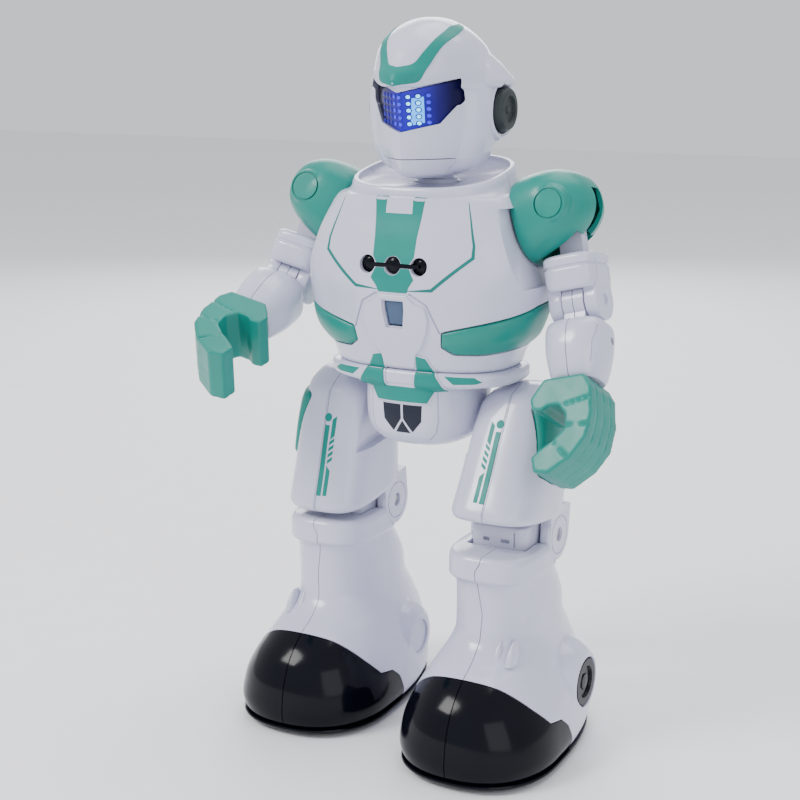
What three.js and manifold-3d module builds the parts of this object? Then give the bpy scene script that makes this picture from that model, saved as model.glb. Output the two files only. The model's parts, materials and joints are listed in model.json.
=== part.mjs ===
// A walking humanoid toy robot, standing, with its right arm raised and its left leg forward.
// Millimetres, +Z up, the robot faces -Y and its left side is at +X.
// Each limb is a chain of nested groups, one group for each joint, and every named mesh is one piece.

import * as THREE from "three";
import { mergeVertices } from "three/addons/utils/BufferGeometryUtils.js";
import Module from "manifold-3d";

const wasm = await Module();
wasm.setup();

// Driving dimensions
const GAP = 0.3;
const WALL = 2;
const ROUND = 22;
const ROUND_INSIDE = 12;
const ROD_SIDES = 14;
const FAR = 200;
const WELD = 1e-4;
const LEAST_RADIUS = 0.6;
const RUNNING_FIT = 0.6;

const WAIST_Z = 141;
const CHEST_SEAM_Y = 3;
const HEAD_TOP_Z = 266;
const NECK = { y: 5, z: 205, radius: 8 };
const EAR = { y: 9, z: 233.5, radius: 7.9, in: 20.5, out: 27.2, dish: 4.6, deep: 1 };

const SHOULDER = { x: 36.5, y: 8, z: 193 };
const SHOULDER_TILT = THREE.MathUtils.degToRad(20);
const BOSS = { x: 14.5, z: 6.5, radius: 6.7 };
const UPPER_ARM = 34.7;
const FOREARM = 31;
const ARM_SLOT = 3;
const ARM_PIN = { radius: 2.5, hole: 2.9, half: 13 };
const ELBOW_PIN = { radius: 1.8, hole: 2.2 };
const WRIST = { radius: 3.9, hole: 4.4, top: 4.6, low: -1, roof: -26 };

const LEG_X = 37.2;
const HIP = { y: 7, z: 124 };
const THIGH = 45;
const KNEE_Z = 79;
const KNEE_RADIUS = 10;
const KNEE_PIN = { radius: 2.4, hole: 2.7, half: 15 };
const HIP_AXLE = { radius: 3.5, hole: 3.9, in: 9, out: 43 };
const LUGS = [[-16, -12], [12, 16]];
const FORK = 11.8;
const ANKLE = { y: 1, z: 22.5, radius: 12.5, in: -25.6, out: 27.8 };
const ANKLE_DISC = { radius: 9.2, room: 9.6, thick: 2, deep: 2.4, dish: 5.4, dishDeep: 1 };
const ANKLE_DISH = { radius: 7, x: -24.9 };
const DRIVE_WHEEL = { y: 12, radius: 6.5, half: 4.6 };
const ROLLER = { y: -40, radius: 4, half: 9.2 };
const WHEEL_SIDES = { drive: 20, roller: 16 };
const SOLE = { under: 0.8, top: 3.2 };

// The pose at rest, in degrees
const POSE = {
  left: { swing: 11, lift: 14, elbow: 19, stride: 7.5 },
  right: { swing: 17, lift: 14, elbow: 50, stride: -7.5 },
};

const WHITE = { color: 0xdfe3ee, roughness: 0.25, metalness: 0 };
const TEAL = { color: 0x3fb3a2, roughness: 0.4, metalness: 0 };
const BLACK = { color: 0x14161f, roughness: 0.12, metalness: 0 };
const GREY = { color: 0x50545c, roughness: 0.6, metalness: 0 };
const STEEL = { color: 0xb9bcc2, roughness: 0.35, metalness: 1 };
const LENS = { color: 0x2a2f7a, roughness: 0.08, metalness: 0 };
const GREEN = { color: 0x1e6a3c, roughness: 0.5, metalness: 0 };

// Solids

function solid(geometry) {
  const bare = new THREE.BufferGeometry();
  bare.setAttribute("position", geometry.getAttribute("position"));
  bare.setIndex(geometry.getIndex());
  const merged = mergeVertices(bare, WELD);
  const faces = Uint32Array.from(merged.getIndex().array);
  const points = Float32Array.from(merged.getAttribute("position").array);
  return new wasm.Manifold(new wasm.Mesh({ numProp: 3, vertProperties: points, triVerts: faces }));
}

// A ring of a loft is a superellipse: side is its half width, front and back its depths from y.
function ringPoint(ring, turn) {
  const power = 2 / (ring.power ?? 2.6);
  const across = Math.cos(turn);
  const along = Math.sin(turn);
  const depth = along < 0 ? ring.front : ring.back;
  return [
    (ring.x ?? 0) + ring.side * Math.sign(across) * Math.abs(across) ** power,
    (ring.y ?? 0) + depth * Math.sign(along) * Math.abs(along) ** power,
    ring.z,
  ];
}

function loftGeometry(rings, count = ROUND) {
  const points = [];
  for (const ring of rings) {
    for (let i = 0; i < count; i++) {
      points.push(...ringPoint(ring, (2 * Math.PI * i) / count));
    }
  }
  const last = rings.length - 1;
  const foot = rings.length * count;
  points.push(rings[0].x ?? 0, rings[0].y ?? 0, rings[0].z);
  points.push(rings[last].x ?? 0, rings[last].y ?? 0, rings[last].z);
  const faces = [];
  for (let i = 0; i < count; i++) {
    const next = (i + 1) % count;
    faces.push(foot, next, i);
    faces.push(foot + 1, last * count + i, last * count + next);
    for (let level = 0; level < last; level++) {
      const low = level * count;
      const high = low + count;
      faces.push(low + i, low + next, high + next);
      faces.push(low + i, high + next, high + i);
    }
  }
  const geometry = new THREE.BufferGeometry();
  geometry.setAttribute("position", new THREE.Float32BufferAttribute(points, 3));
  geometry.setIndex(faces);
  return geometry;
}

function loft(rings, count = ROUND) {
  return solid(loftGeometry(rings, count));
}

// The same rings, drawn in by a wall all round and at both ends.
function inset(rings, wall) {
  const last = rings.length - 1;
  return rings.map((ring, i) => ({
    ...ring,
    z: ring.z + (i === 0 ? wall : 0) - (i === last ? wall : 0),
    side: Math.max(ring.side - wall, LEAST_RADIUS),
    front: Math.max(ring.front - wall, LEAST_RADIUS),
    back: Math.max(ring.back - wall, LEAST_RADIUS),
  }));
}

function hollow(rings, wall = WALL) {
  return loft(rings).subtract(loft(inset(rings, wall), ROUND_INSIDE));
}

function block(x0, x1, y0, y1, z0, z1) {
  const box = new THREE.BoxGeometry(x1 - x0, y1 - y0, z1 - z0);
  return solid(box.translate((x0 + x1) / 2, (y0 + y1) / 2, (z0 + z1) / 2));
}

function rodX(radius, x0, x1, y, z, sides = ROD_SIDES) {
  const rod = new THREE.CylinderGeometry(radius, radius, x1 - x0, sides).rotateZ(Math.PI / 2);
  return solid(rod.translate((x0 + x1) / 2, y, z));
}

function rodY(radius, y0, y1, x, z, sides = ROD_SIDES) {
  const rod = new THREE.CylinderGeometry(radius, radius, y1 - y0, sides);
  return solid(rod.translate(x, (y0 + y1) / 2, z));
}

function rodZ(radius, z0, z1, x, y, sides = ROD_SIDES) {
  const rod = new THREE.CylinderGeometry(radius, radius, z1 - z0, sides).rotateX(Math.PI / 2);
  return solid(rod.translate(x, y, (z0 + z1) / 2));
}

// An outline of [x, z] points, pushed along y.
function frontPlate(outline, y0, y1) {
  const shape = new THREE.Shape(outline.map(([x, z]) => new THREE.Vector2(x, z)));
  const plate = new THREE.ExtrudeGeometry(shape, { depth: y1 - y0, bevelEnabled: false });
  return solid(indexed(plate.rotateX(Math.PI / 2).translate(0, y1, 0)));
}

// An outline of [y, z] points, pushed along x.
function sidePlate(outline, x0, x1) {
  const shape = new THREE.Shape(outline.map(([y, z]) => new THREE.Vector2(y, z)));
  const plate = new THREE.ExtrudeGeometry(shape, { depth: x1 - x0, bevelEnabled: false });
  return solid(indexed(plate.rotateX(Math.PI / 2).rotateZ(Math.PI / 2).translate(x0, 0, 0)));
}

function indexed(geometry) {
  const bare = new THREE.BufferGeometry();
  bare.setAttribute("position", geometry.getAttribute("position"));
  return mergeVertices(bare, WELD);
}

// Keeps the part of a solid on one side of a plane across x or y.
const keepFront = (body, y) => body.intersect(block(-FAR, FAR, y - 2 * FAR, y, -FAR, 2 * FAR));
const keepBack = (body, y) => body.intersect(block(-FAR, FAR, y, y + 2 * FAR, -FAR, 2 * FAR));
const keepInner = (body, x) => body.intersect(block(x - 2 * FAR, x, -FAR, FAR, -FAR, 2 * FAR));
const keepOuter = (body, x) => body.intersect(block(x, x + 2 * FAR, -FAR, FAR, -FAR, 2 * FAR));

// Only the largest piece of a cut solid, where a cut leaves slivers behind.
function largest(body) {
  const pieces = body.decompose();
  return pieces.reduce((best, piece) => (piece.volume() > best.volume() ? piece : best));
}

// side is 1 for the left and -1 for a right-hand copy, mirrored in x.
function addPiece(group, name, body, look, side = 1) {
  const { vertProperties, triVerts } = largest(body).getMesh();
  const points = Float32Array.from(vertProperties, (value, i) => (i % 3 === 0 ? side * value : value));
  const faces = Uint32Array.from(triVerts);
  if (side < 0) {
    for (let i = 0; i < faces.length; i += 3) {
      [faces[i], faces[i + 1]] = [faces[i + 1], faces[i]];
    }
  }
  const geometry = new THREE.BufferGeometry();
  geometry.setAttribute("position", new THREE.BufferAttribute(points, 3));
  geometry.setIndex(new THREE.BufferAttribute(faces, 1));
  geometry.computeVertexNormals();
  const mesh = new THREE.Mesh(geometry, new THREE.MeshStandardMaterial(look));
  mesh.name = name;
  group.add(mesh);
}

// Torso

const TORSO_RINGS = [
  { z: WAIST_Z + GAP, side: 35, front: 24, back: 22.5 },
  { z: 147, side: 36.8, front: 25.5, back: 24 },
  { z: 156, side: 42.5, front: 28, back: 26 },
  { z: 166, side: 46, front: 29.8, back: 27.5 },
  { z: 176, side: 47, front: 31, back: 28.5 },
  { z: 188, side: 44, front: 28.5, back: 28.5 },
  { z: 198, side: 38.5, front: 25.5, back: 28 },
  { z: 204, side: 33.5, front: 24, back: 27.5 },
];

const COLLAR_RINGS = [
  { z: 198, y: 2, side: 27, front: 22, back: 23 },
  { z: 204, y: 2, side: 29.5, front: 25, back: 25.5 },
  { z: 216.5, y: 2, side: 28.5, front: 24, back: 24.5 },
];

const PELVIS_RINGS = [
  { z: 110.7, side: 8, front: 10, back: 10 },
  { z: 111.9, side: 14.5, front: 17, back: 15 },
  { z: 114.5, side: 18.8, front: 20.5, back: 18 },
  { z: 119, side: 21.4, front: 22.5, back: 19.5 },
  { z: 125, side: 22, front: 23.3, back: 20 },
  { z: 134.6, side: 22, front: 23.6, back: 20 },
  { z: 136, side: 35, front: 24.2, back: 22.4 },
  { z: 137, side: 37.8, front: 25, back: 24 },
  { z: 140, side: 37.8, front: 25, back: 24 },
  { z: WAIST_Z, side: 36.5, front: 24.4, back: 23.2 },
];

const BOWL_RINGS = [
  { z: 200, y: 2, side: 17, front: 13, back: 14 },
  { z: 205, y: 2, side: 25.4, front: 21, back: 22 },
  { z: 217, y: 2, side: 27, front: 22.6, back: 23.2 },
];
const COLLAR_TOP = { z: 210.5, slant: THREE.MathUtils.degToRad(11) };
const CAVITY_TOP = [193, 198];
const NECK_HOLE = [190, 210];
const SHOULDER_ROOM = { x: 18, z: 172, spare: 0.5 };

// The half space outside the tilted plane where a shoulder cap meets the torso.
function shoulderRoom(side) {
  const cutter = new THREE.BoxGeometry(FAR, FAR, FAR);
  cutter.translate(FAR / 2 - SHOULDER_ROOM.spare, 0, 0);
  cutter.rotateY(-SHOULDER_TILT);
  cutter.translate(SHOULDER.x, SHOULDER.y, SHOULDER.z);
  const room = solid(cutter);
  const near = block(SHOULDER_ROOM.x, FAR, -FAR, FAR, SHOULDER_ROOM.z, 2 * FAR);
  const cut = room.intersect(near);
  return side > 0 ? cut : mirrored(cut);
}

function mirrored(body) {
  const { vertProperties, triVerts } = body.getMesh();
  const points = Float32Array.from(vertProperties, (value, i) => (i % 3 === 0 ? -value : value));
  const faces = Uint32Array.from(triVerts).reverse();
  return new wasm.Manifold(new wasm.Mesh({ numProp: 3, vertProperties: points, triVerts: faces }));
}

function torsoWall() {
  const bowl = loft(BOWL_RINGS, ROUND_INSIDE);
  const slant = new THREE.BoxGeometry(2 * FAR, 2 * FAR, FAR).translate(0, 0, FAR / 2);
  slant.rotateX(COLLAR_TOP.slant).translate(0, 0, COLLAR_TOP.z);
  const skin = loft(TORSO_RINGS).add(loft(COLLAR_RINGS)).subtract(bowl).subtract(solid(slant));
  const inner = inset(TORSO_RINGS, WALL);
  const firstLowered = inner.length - CAVITY_TOP.length;
  CAVITY_TOP.forEach((z, i) => {
    inner[firstLowered + i].z = z;
  });
  return skin
    .subtract(loft(inner, ROUND_INSIDE))
    .subtract(rodZ(NECK.radius + RUNNING_FIT, ...NECK_HOLE, 0, NECK.y))
    .subtract(shoulderRoom(1))
    .subtract(shoulderRoom(-1));
}

const RIB_OUTLINE = [
  [17.5, 156],
  [44.5, 165],
  [52, 166],
  [52, 149.5],
  [39, 149.5],
  [22, 148.5],
  [18, 151.5],
];
const RIB_REAR_Y = 12;
const PANEL_MARGIN = 1.6;

// Three round sensors joined by a bar, in an opening a little larger all round.
const EYES = { spacing: 10.3, z: 180, radius: 3, front: -31.2, rear: -27 };
const EYE_BAR = { x: 13, z: 1.4, front: -30 };
const EYE_OPENING = { radius: 3.4, x: 13.6, z: 2, rear: -24 };
const RECEIVER = { x: 3.7, z0: 157.7, z1: 167, front: -29.2, rear: -26.2, rearOfHole: -20 };

const DOOR = { x: 19, z0: 150, z1: 186, front: 15 };
const SWITCH = { x: 11, z: 194, half: 5, travel: 2.5, slot: 2, tall: 1.6, in: 24, out: 29.6 };
const BATTERY_PACK = [-17, 17, 7, 20.5, 152, 184];
const CIRCUIT_BOARD = [-24, 24, 3.5, 5.1, 150, 188];
const SPEAKER = { radius: 12, front: -20, rear: -10, z: 160 };
const PELVIS_ROOF = { x: 14, y: 10, tall: 5 };

function buildTorso(torso) {
  const wall = torsoWall();
  let front = keepFront(wall, CHEST_SEAM_Y);
  let rear = keepBack(wall, CHEST_SEAM_Y + GAP);
  for (const side of [1, -1]) {
    const outline = RIB_OUTLINE.map(([x, z]) => [side * x, z]);
    const plug = frontPlate(outline, -FAR, RIB_REAR_Y);
    const name = side > 0 ? "left" : "right";
    addPiece(torso, `${name}_rib_panel`, shrunk(wall, outline, RIB_REAR_Y), TEAL);
    front = front.subtract(plug);
    rear = rear.subtract(plug);
  }

  const hole = EYE_OPENING;
  const bar = block(-hole.x, hole.x, -FAR, hole.rear, EYES.z - hole.z, EYES.z + hole.z);
  front = front.subtract(withEyes(bar, hole.radius, -FAR, hole.rear));
  const thin = EYE_BAR;
  const strip = block(-thin.x, thin.x, thin.front, EYES.rear, EYES.z - thin.z, EYES.z + thin.z);
  addPiece(torso, "sensor_window", withEyes(strip, EYES.radius, EYES.front, EYES.rear), BLACK);

  const { x, z0, z1 } = RECEIVER;
  front = front.subtract(block(-x - GAP, x + GAP, -FAR, RECEIVER.rearOfHole, z0 - GAP, z1 + GAP));
  addPiece(torso, "receiver_window", block(-x, x, RECEIVER.front, RECEIVER.rear, z0, z1), LENS);
  addPiece(torso, "chest_shell", front, WHITE);

  const door = keepBack(wall, DOOR.front).intersect(
    block(-DOOR.x + GAP, DOOR.x - GAP, 0, FAR, DOOR.z0 + GAP, DOOR.z1 - GAP),
  );
  rear = rear.subtract(block(-DOOR.x, DOOR.x, DOOR.front, FAR, DOOR.z0, DOOR.z1));
  const reach = SWITCH.half + SWITCH.travel;
  const low = SWITCH.z - SWITCH.slot;
  const high = SWITCH.z + SWITCH.slot;
  rear = rear.subtract(block(SWITCH.x - reach, SWITCH.x + reach, DOOR.front, FAR, low, high));
  addPiece(torso, "back_shell", rear, WHITE);
  addPiece(torso, "battery_door", door, WHITE);

  addPiece(torso, "battery_pack", block(...BATTERY_PACK), GREY);
  addPiece(torso, "circuit_board", block(...CIRCUIT_BOARD), GREEN);
  addPiece(torso, "speaker", rodY(SPEAKER.radius, SPEAKER.front, SPEAKER.rear, 0, SPEAKER.z), GREY);

  const roof = PELVIS_ROOF;
  const pelvis = hollow(PELVIS_RINGS)
    .subtract(rodX(HIP_AXLE.radius + RUNNING_FIT, -FAR, FAR, HIP.y, HIP.z))
    .subtract(block(-roof.x, roof.x, -roof.y, roof.y, WAIST_Z - roof.tall, WAIST_Z + roof.tall));
  addPiece(torso, "pelvis_front_shell", keepFront(pelvis, HIP.y - GAP / 2), WHITE);
  addPiece(torso, "pelvis_rear_shell", keepBack(pelvis, HIP.y + GAP / 2), WHITE);
}

// A bar with the three round sensors added to it.
function withEyes(bar, radius, front, rear) {
  const eyes = [-1, 0, 1].map((step) => rodY(radius, front, rear, step * EYES.spacing, EYES.z));
  return eyes.reduce((sum, eye) => sum.add(eye), bar);
}

// A panel of the wall behind an outline, with the gap left round it.
function shrunk(wall, outline, rearY) {
  const centre = outline.reduce(([a, b], [x, z]) => [a + x / outline.length, b + z / outline.length], [0, 0]);
  const small = outline.map(([x, z]) => {
    const reach = Math.hypot(x - centre[0], z - centre[1]);
    const scale = 1 - (PANEL_MARGIN * GAP) / reach;
    return [centre[0] + (x - centre[0]) * scale, centre[1] + (z - centre[1]) * scale];
  });
  return wall.intersect(frontPlate(small, -FAR, rearY - GAP));
}

function buildSwitch(group) {
  const half = SWITCH.half / 2;
  const knob = block(-half, half, SWITCH.in, SWITCH.out, -SWITCH.tall, SWITCH.tall);
  addPiece(group, "power_switch", knob, BLACK);
}

// Head

const HEAD_RINGS = [
  { z: 209.5, side: 10, front: 18, back: 11 },
  { z: 213, side: 16, front: 26.5, back: 15.5 },
  { z: 218, side: 20.5, front: 27.5, back: 19.5 },
  { z: 228, side: 23.4, front: 28.4, back: 25.5 },
  { z: 240, side: 23.5, front: 30.5, back: 27.3 },
  { z: 246, side: 22, front: 32.5, back: 26.6 },
  { z: 251, side: 20.4, front: 28, back: 26.4 },
  { z: 258, side: 16, front: 21.5, back: 21.5 },
  { z: 263, side: 10, front: 14, back: 13.5 },
  { z: HEAD_TOP_Z, side: 3, front: 4.5, back: 4 },
];
const FACE = { y: -10, low: 226.5, high: 240.3 };
const LENS_SHELL = { inset: 1.2, wall: 1.6 };
const LED_BOARD = { x: 13, front: -19, rear: -17.4, below: 2 };
const NECK_SOCKET = { radius: NECK.radius - 1.5, low: -10, high: 14 };
const NECK_POST = { low: -9, shoulder: 3.5, high: 12, upper: NECK.radius - 2 };

function buildHead(head) {
  const rings = HEAD_RINGS.map((ring) => ({ ...ring, z: ring.z - NECK.z }));
  const low = FACE.low - NECK.z;
  const high = FACE.high - NECK.z;
  const front = FACE.y - NECK.y;
  const wall = hollow(rings);
  const mouth = block(-FAR, FAR, -FAR, front, -FAR, high);
  const ears = rodX(EAR.radius + RUNNING_FIT, -FAR, FAR, EAR.y - NECK.y, EAR.z - NECK.z);
  const socket = rodZ(NECK_SOCKET.radius, NECK_SOCKET.low, NECK_SOCKET.high, 0, 0);
  addPiece(head, "helmet_shell", wall.subtract(mouth).subtract(ears).subtract(socket), WHITE);

  const jaw = wall.intersect(block(-FAR, FAR, -FAR, front - GAP, -FAR, low));
  addPiece(head, "face_mask", jaw, WHITE);
  const lens = hollow(inset(rings, LENS_SHELL.inset), LENS_SHELL.wall);
  const opening = block(-FAR, FAR, -FAR, front - GAP, low + GAP, high - GAP);
  addPiece(head, "visor", lens.intersect(opening), LENS);
  const { x, front: near, rear: far, below } = LED_BOARD;
  const board = block(-x, x, near, far, low - below, high);
  addPiece(head, "led_board", board, GREEN);
  for (const side of [1, -1]) {
    const disc = rodX(EAR.radius, EAR.in, EAR.out, EAR.y - NECK.y, EAR.z - NECK.z);
    const dish = rodX(EAR.dish, EAR.out - EAR.deep, FAR, EAR.y - NECK.y, EAR.z - NECK.z);
    addPiece(head, side > 0 ? "left_ear_disc" : "right_ear_disc", disc.subtract(dish), BLACK, side);
  }
  const lower = rodZ(NECK.radius, NECK_POST.low, NECK_POST.shoulder, 0, 0);
  const upper = rodZ(NECK_POST.upper, 0, NECK_POST.high, 0, 0);
  addPiece(head, "neck_post", lower.add(upper), WHITE);
}

// Arms, drawn for the left side with x pointing outwards

// Rings of a cap are stacked along the tilted swing axis, from the torso seam outwards.
const CAP_RINGS = [
  { z: 0.3, side: 15.8, front: 16.5, back: 15, x: 0.6 },
  { z: 4, side: 16, front: 17, back: 15.4, x: 0.2 },
  { z: 11, side: 15, front: 17.6, back: 15.6, x: -0.8 },
  { z: 17, side: 13.4, front: 16.6, back: 14.8, x: -1.4 },
  { z: 22.5, side: 10.4, front: 13.4, back: 11.8, x: -1.6 },
  { z: 26, side: 6.4, front: 8.8, back: 7.8, x: -1.4 },
  { z: 27.8, side: 2.4, front: 3.4, back: 3, x: -1 },
];

const CAP_WALL = WALL + 0.2;
const BOSS_DISC = [-17, -15];
// The slot the arm swings up through, from the boss outwards, and the mouth it hangs from.
const ARM_SWEEP = { in: 6, out: 40, low: -40, above: 7 };
const ARM_MOUTH = { half: 8, low: -40, below: 8 };
const ARM_PIN_ENDS = [-12.5, 12.3];

function capBody(rings, count = ROUND) {
  const geometry = loftGeometry(rings, count);
  geometry.rotateY(Math.PI / 2 - SHOULDER_TILT);
  return solid(geometry);
}

function buildShoulderCap(cap, name, side) {
  const { x, z } = BOSS;
  const inner = inset(CAP_RINGS, CAP_WALL);
  let body = capBody(CAP_RINGS).subtract(capBody(inner, ROUND_INSIDE));
  body = body.add(rodY(BOSS.radius, ...BOSS_DISC, x, z));
  const { in: inward, out: outward, low, above } = ARM_SWEEP;
  const sweep = block(x - inward, x + outward, -ARM_SLOT, ARM_SLOT, low, z + above);
  const { half, low: foot, below } = ARM_MOUTH;
  const mouth = block(x - half, x + half, -half, half, foot, z - below);
  const hole = rodY(ARM_PIN.hole, -ARM_PIN.half, ARM_PIN.half, x, z);
  body = body.subtract(sweep).subtract(mouth).subtract(hole);
  addPiece(cap, `${name}_shoulder_cap`, body, TEAL, side);
  addPiece(cap, `${name}_arm_pin`, rodY(ARM_PIN.radius, ...ARM_PIN_ENDS, x, z), STEEL, side);
}

const ARM_RINGS = [
  { z: 5 - UPPER_ARM, side: 9, front: 9.6, back: 9.6, power: 5 },
  { z: 7 - UPPER_ARM, side: 9.7, front: 10.4, back: 10.4, power: 5 },
  { z: -19, side: 9.7, front: 10.4, back: 10.4, power: 5 },
  { z: -17.4, side: 8.4, front: 9, back: 9, power: 4 },
];
const ARM_SIDES = 16;
const ARM_LINK = { radius: 6, half: 2.4, x: 4.5, low: -20 };
const ELBOW_CHEEK = { radius: 7.6, starts: [-9.4, 4.4], thick: 5, neck: 6.5, tall: 6 };
const KNUCKLE = { radius: 7.4, half: 4, room: 7.9, roomHalf: 4.3, neck: 5, low: -12 };

function buildUpperArm(arm, name, side) {
  const elbow = -UPPER_ARM;
  const { radius, half, x, low } = ARM_LINK;
  const link = rodY(radius, -half, half, 0, 0).add(block(-x, x, -half, half, low, 0));
  let body = loft(ARM_RINGS, ARM_SIDES).add(link).subtract(rodY(ARM_PIN.hole, -FAR, FAR, 0, 0));
  body = body.subtract(rodX(KNUCKLE.room, -KNUCKLE.roomHalf, KNUCKLE.roomHalf, 0, elbow));
  const { neck: wide, thick, tall } = ELBOW_CHEEK;
  for (const start of ELBOW_CHEEK.starts) {
    const cheek = rodX(ELBOW_CHEEK.radius, start, start + thick, 0, elbow);
    const neck = block(start, start + thick, -wide, wide, elbow, elbow + tall);
    body = body.add(cheek).add(neck);
  }
  body = body.add(rodX(ELBOW_PIN.radius, -ELBOW_CHEEK.tall, ELBOW_CHEEK.tall, 0, elbow));
  addPiece(arm, `${name}_upper_arm`, body, WHITE, side);
}

const FOREARM_RINGS = [
  { z: -FOREARM + 0.2, side: 9, front: 9, back: 9 },
  { z: -27, side: 10, front: 10.2, back: 9.8 },
  { z: -18, side: 11.4, front: 12, back: 11 },
  { z: -11.5, side: 11, front: 11.2, back: 10.6, power: 3.4 },
  { z: -8.6, side: 10, front: 8.6, back: 9.4, power: 3.4 },
];

function buildForearm(forearm, name, side) {
  const { half, neck, low } = KNUCKLE;
  const knuckle = rodX(KNUCKLE.radius, -half, half, 0, 0).add(block(-half, half, -neck, neck, low, 0));
  const body = hollow(FOREARM_RINGS)
    .add(knuckle)
    .subtract(rodZ(WRIST.hole, -FAR, WRIST.roof, 0, 0))
    .subtract(rodX(ELBOW_PIN.hole, -FAR, FAR, 0, 0));
  addPiece(forearm, `${name}_forearm_inner`, keepInner(body, -GAP / 2), WHITE, side);
  addPiece(forearm, `${name}_forearm_outer`, keepOuter(body, GAP / 2), WHITE, side);
}

// The hand is a C seen from the front: palm on the outer side, thumb above and fingers below the grip.
const HAND_OUTLINE = [
  [-8, -0.5],
  [7, -0.5],
  [9.5, -5],
  [10, -15],
  [8, -23.5],
  [2.5, -30],
  [-6, -35],
  [-11.5, -34],
  [-12.5, -28.5],
  [-7.5, -25],
  [-4.5, -23.5],
  [0, -19.5],
  [0.3, -14.5],
  [-2.5, -10.5],
  [-6.5, -10.5],
  [-9, -12],
  [-12.5, -11.5],
  [-13.5, -7.5],
  [-11, -4],
];

const HAND_DEPTH = [-11.5, 9.5];

function buildHand(hand, name, side) {
  const palm = frontPlate(HAND_OUTLINE, ...HAND_DEPTH);
  const stub = rodZ(WRIST.radius, WRIST.low, WRIST.top, 0, 0);
  addPiece(hand, `${name}_hand`, palm.add(stub), TEAL, side);
}

function buildArm(torso, side) {
  const name = side > 0 ? "left" : "right";
  const pose = POSE[name];
  const cap = jointGroup(torso, `${name}_shoulder_swing`, side * SHOULDER.x, SHOULDER.y, SHOULDER.z);
  const swingAxis = new THREE.Vector3(Math.cos(SHOULDER_TILT), 0, side * Math.sin(SHOULDER_TILT));
  cap.setRotationFromAxisAngle(swingAxis, -THREE.MathUtils.degToRad(pose.swing));
  buildShoulderCap(cap, name, side);

  const arm = jointGroup(cap, `${name}_arm_lift`, side * BOSS.x, 0, BOSS.z);
  arm.rotation.y = -side * THREE.MathUtils.degToRad(pose.lift);
  buildUpperArm(arm, name, side);

  const forearm = jointGroup(arm, `${name}_elbow`, 0, 0, -UPPER_ARM);
  forearm.rotation.x = -THREE.MathUtils.degToRad(pose.elbow);
  buildForearm(forearm, name, side);

  const hand = jointGroup(forearm, `${name}_wrist_turn`, 0, 0, -FOREARM);
  buildHand(hand, name, side);
}

// Legs, drawn for the left side with x pointing outwards and the hip or knee hub at the origin

const THIGH_RINGS = [
  { z: -38.5, y: -12, side: 15.8, front: 22.6, back: 21.5, power: 3.4 },
  { z: -36, y: -12, side: 16.6, front: 24, back: 22.5, power: 3.4 },
  { z: -24, y: -9, side: 16.4, front: 22, back: 22, power: 3.2 },
  { z: -10, y: -5.5, side: 16, front: 19.6, back: 20.5, power: 3 },
  { z: 0, y: -3, side: 15, front: 17.5, back: 18, power: 2.8 },
  { z: 6, x: 1, y: -2, side: 12.8, front: 15, back: 14.5, power: 2.8 },
  { z: 9.2, x: 2, y: -1, side: 9.6, front: 9.5, back: 9.5, power: 2.6 },
  { z: 11, x: 3, side: 6, front: 5, back: 5, power: 2.4 },
];
const THIGH_NOTCH = { x: -12.8, z: -16.5 };
const ARMOUR_OUTLINE = [
  [-13, 1],
  [6, 4],
  [14, -4],
  [12, -24],
  [5, -29],
  [-8, -27],
];

const ARMOUR = { in: 12.6, out: 17.2, margin: 0.35, corner: 1.4 };
const THIGH_OPENING = [-14, 14, -32, 30, -60, -30];
const THIGH_MOUTH = [-26, 30, -60, -30];
const STRUT = { y: 9, top: -34 };
const AXLE_HOLE_END = 8;

function buildThigh(hip, name, side) {
  let wall = hollow(THIGH_RINGS).subtract(block(...THIGH_OPENING));
  for (const [x0, x1] of LUGS) {
    const lug = rodX(KNEE_RADIUS, x0, x1, 0, -THIGH);
    const strut = block(x0, x1, -STRUT.y, STRUT.y, -THIGH, STRUT.top);
    wall = wall.add(lug).add(strut);
  }
  wall = wall.subtract(block(-FORK, FORK, ...THIGH_MOUTH));
  wall = wall.subtract(rodX(KNEE_PIN.hole, -FAR, FAR, 0, -THIGH));
  wall = wall.subtract(block(-FAR, THIGH_NOTCH.x, -FAR, FAR, THIGH_NOTCH.z, FAR));
  wall = wall.add(notchWall());
  wall = wall.subtract(rodX(HIP_AXLE.hole, -FAR, AXLE_HOLE_END, 0, 0));
  const outer = keepOuter(wall, GAP / 2);
  const armour = sidePlate(ARMOUR_OUTLINE, ARMOUR.in, ARMOUR.out);
  const recess = sidePlate(grown(ARMOUR_OUTLINE, ARMOUR.margin), ARMOUR.in - GAP, FAR);
  addPiece(hip, `${name}_thigh_inner`, keepInner(wall, -GAP / 2), WHITE, side);
  addPiece(hip, `${name}_thigh_outer`, outer.subtract(recess), WHITE, side);
  addPiece(hip, `${name}_thigh_panel`, armour, TEAL, side);
  const pin = rodX(KNEE_PIN.radius, -KNEE_PIN.half, KNEE_PIN.half, 0, -THIGH);
  addPiece(hip, `${name}_knee_pin`, pin, STEEL, side);
}

// Closes the narrow upper part of the thigh on its inner side, where the pelvis needs room.
function notchWall() {
  const x = THIGH_NOTCH.x;
  const core = loft(THIGH_RINGS);
  const upright = block(x, x + WALL, -FAR, FAR, THIGH_NOTCH.z, FAR);
  const shelf = block(-FAR, x + WALL, -FAR, FAR, THIGH_NOTCH.z - WALL, THIGH_NOTCH.z);
  return core.intersect(upright.add(shelf));
}

// An outline scaled up about its centre by a margin.
function grown(outline, margin) {
  const count = outline.length;
  const centre = outline.reduce(([a, b], [u, v]) => [a + u / count, b + v / count], [0, 0]);
  return outline.map(([u, v]) => {
    const reach = Math.hypot(u - centre[0], v - centre[1]);
    const scale = 1 + (ARMOUR.corner * margin) / reach;
    return [centre[0] + (u - centre[0]) * scale, centre[1] + (v - centre[1]) * scale];
  });
}

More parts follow.
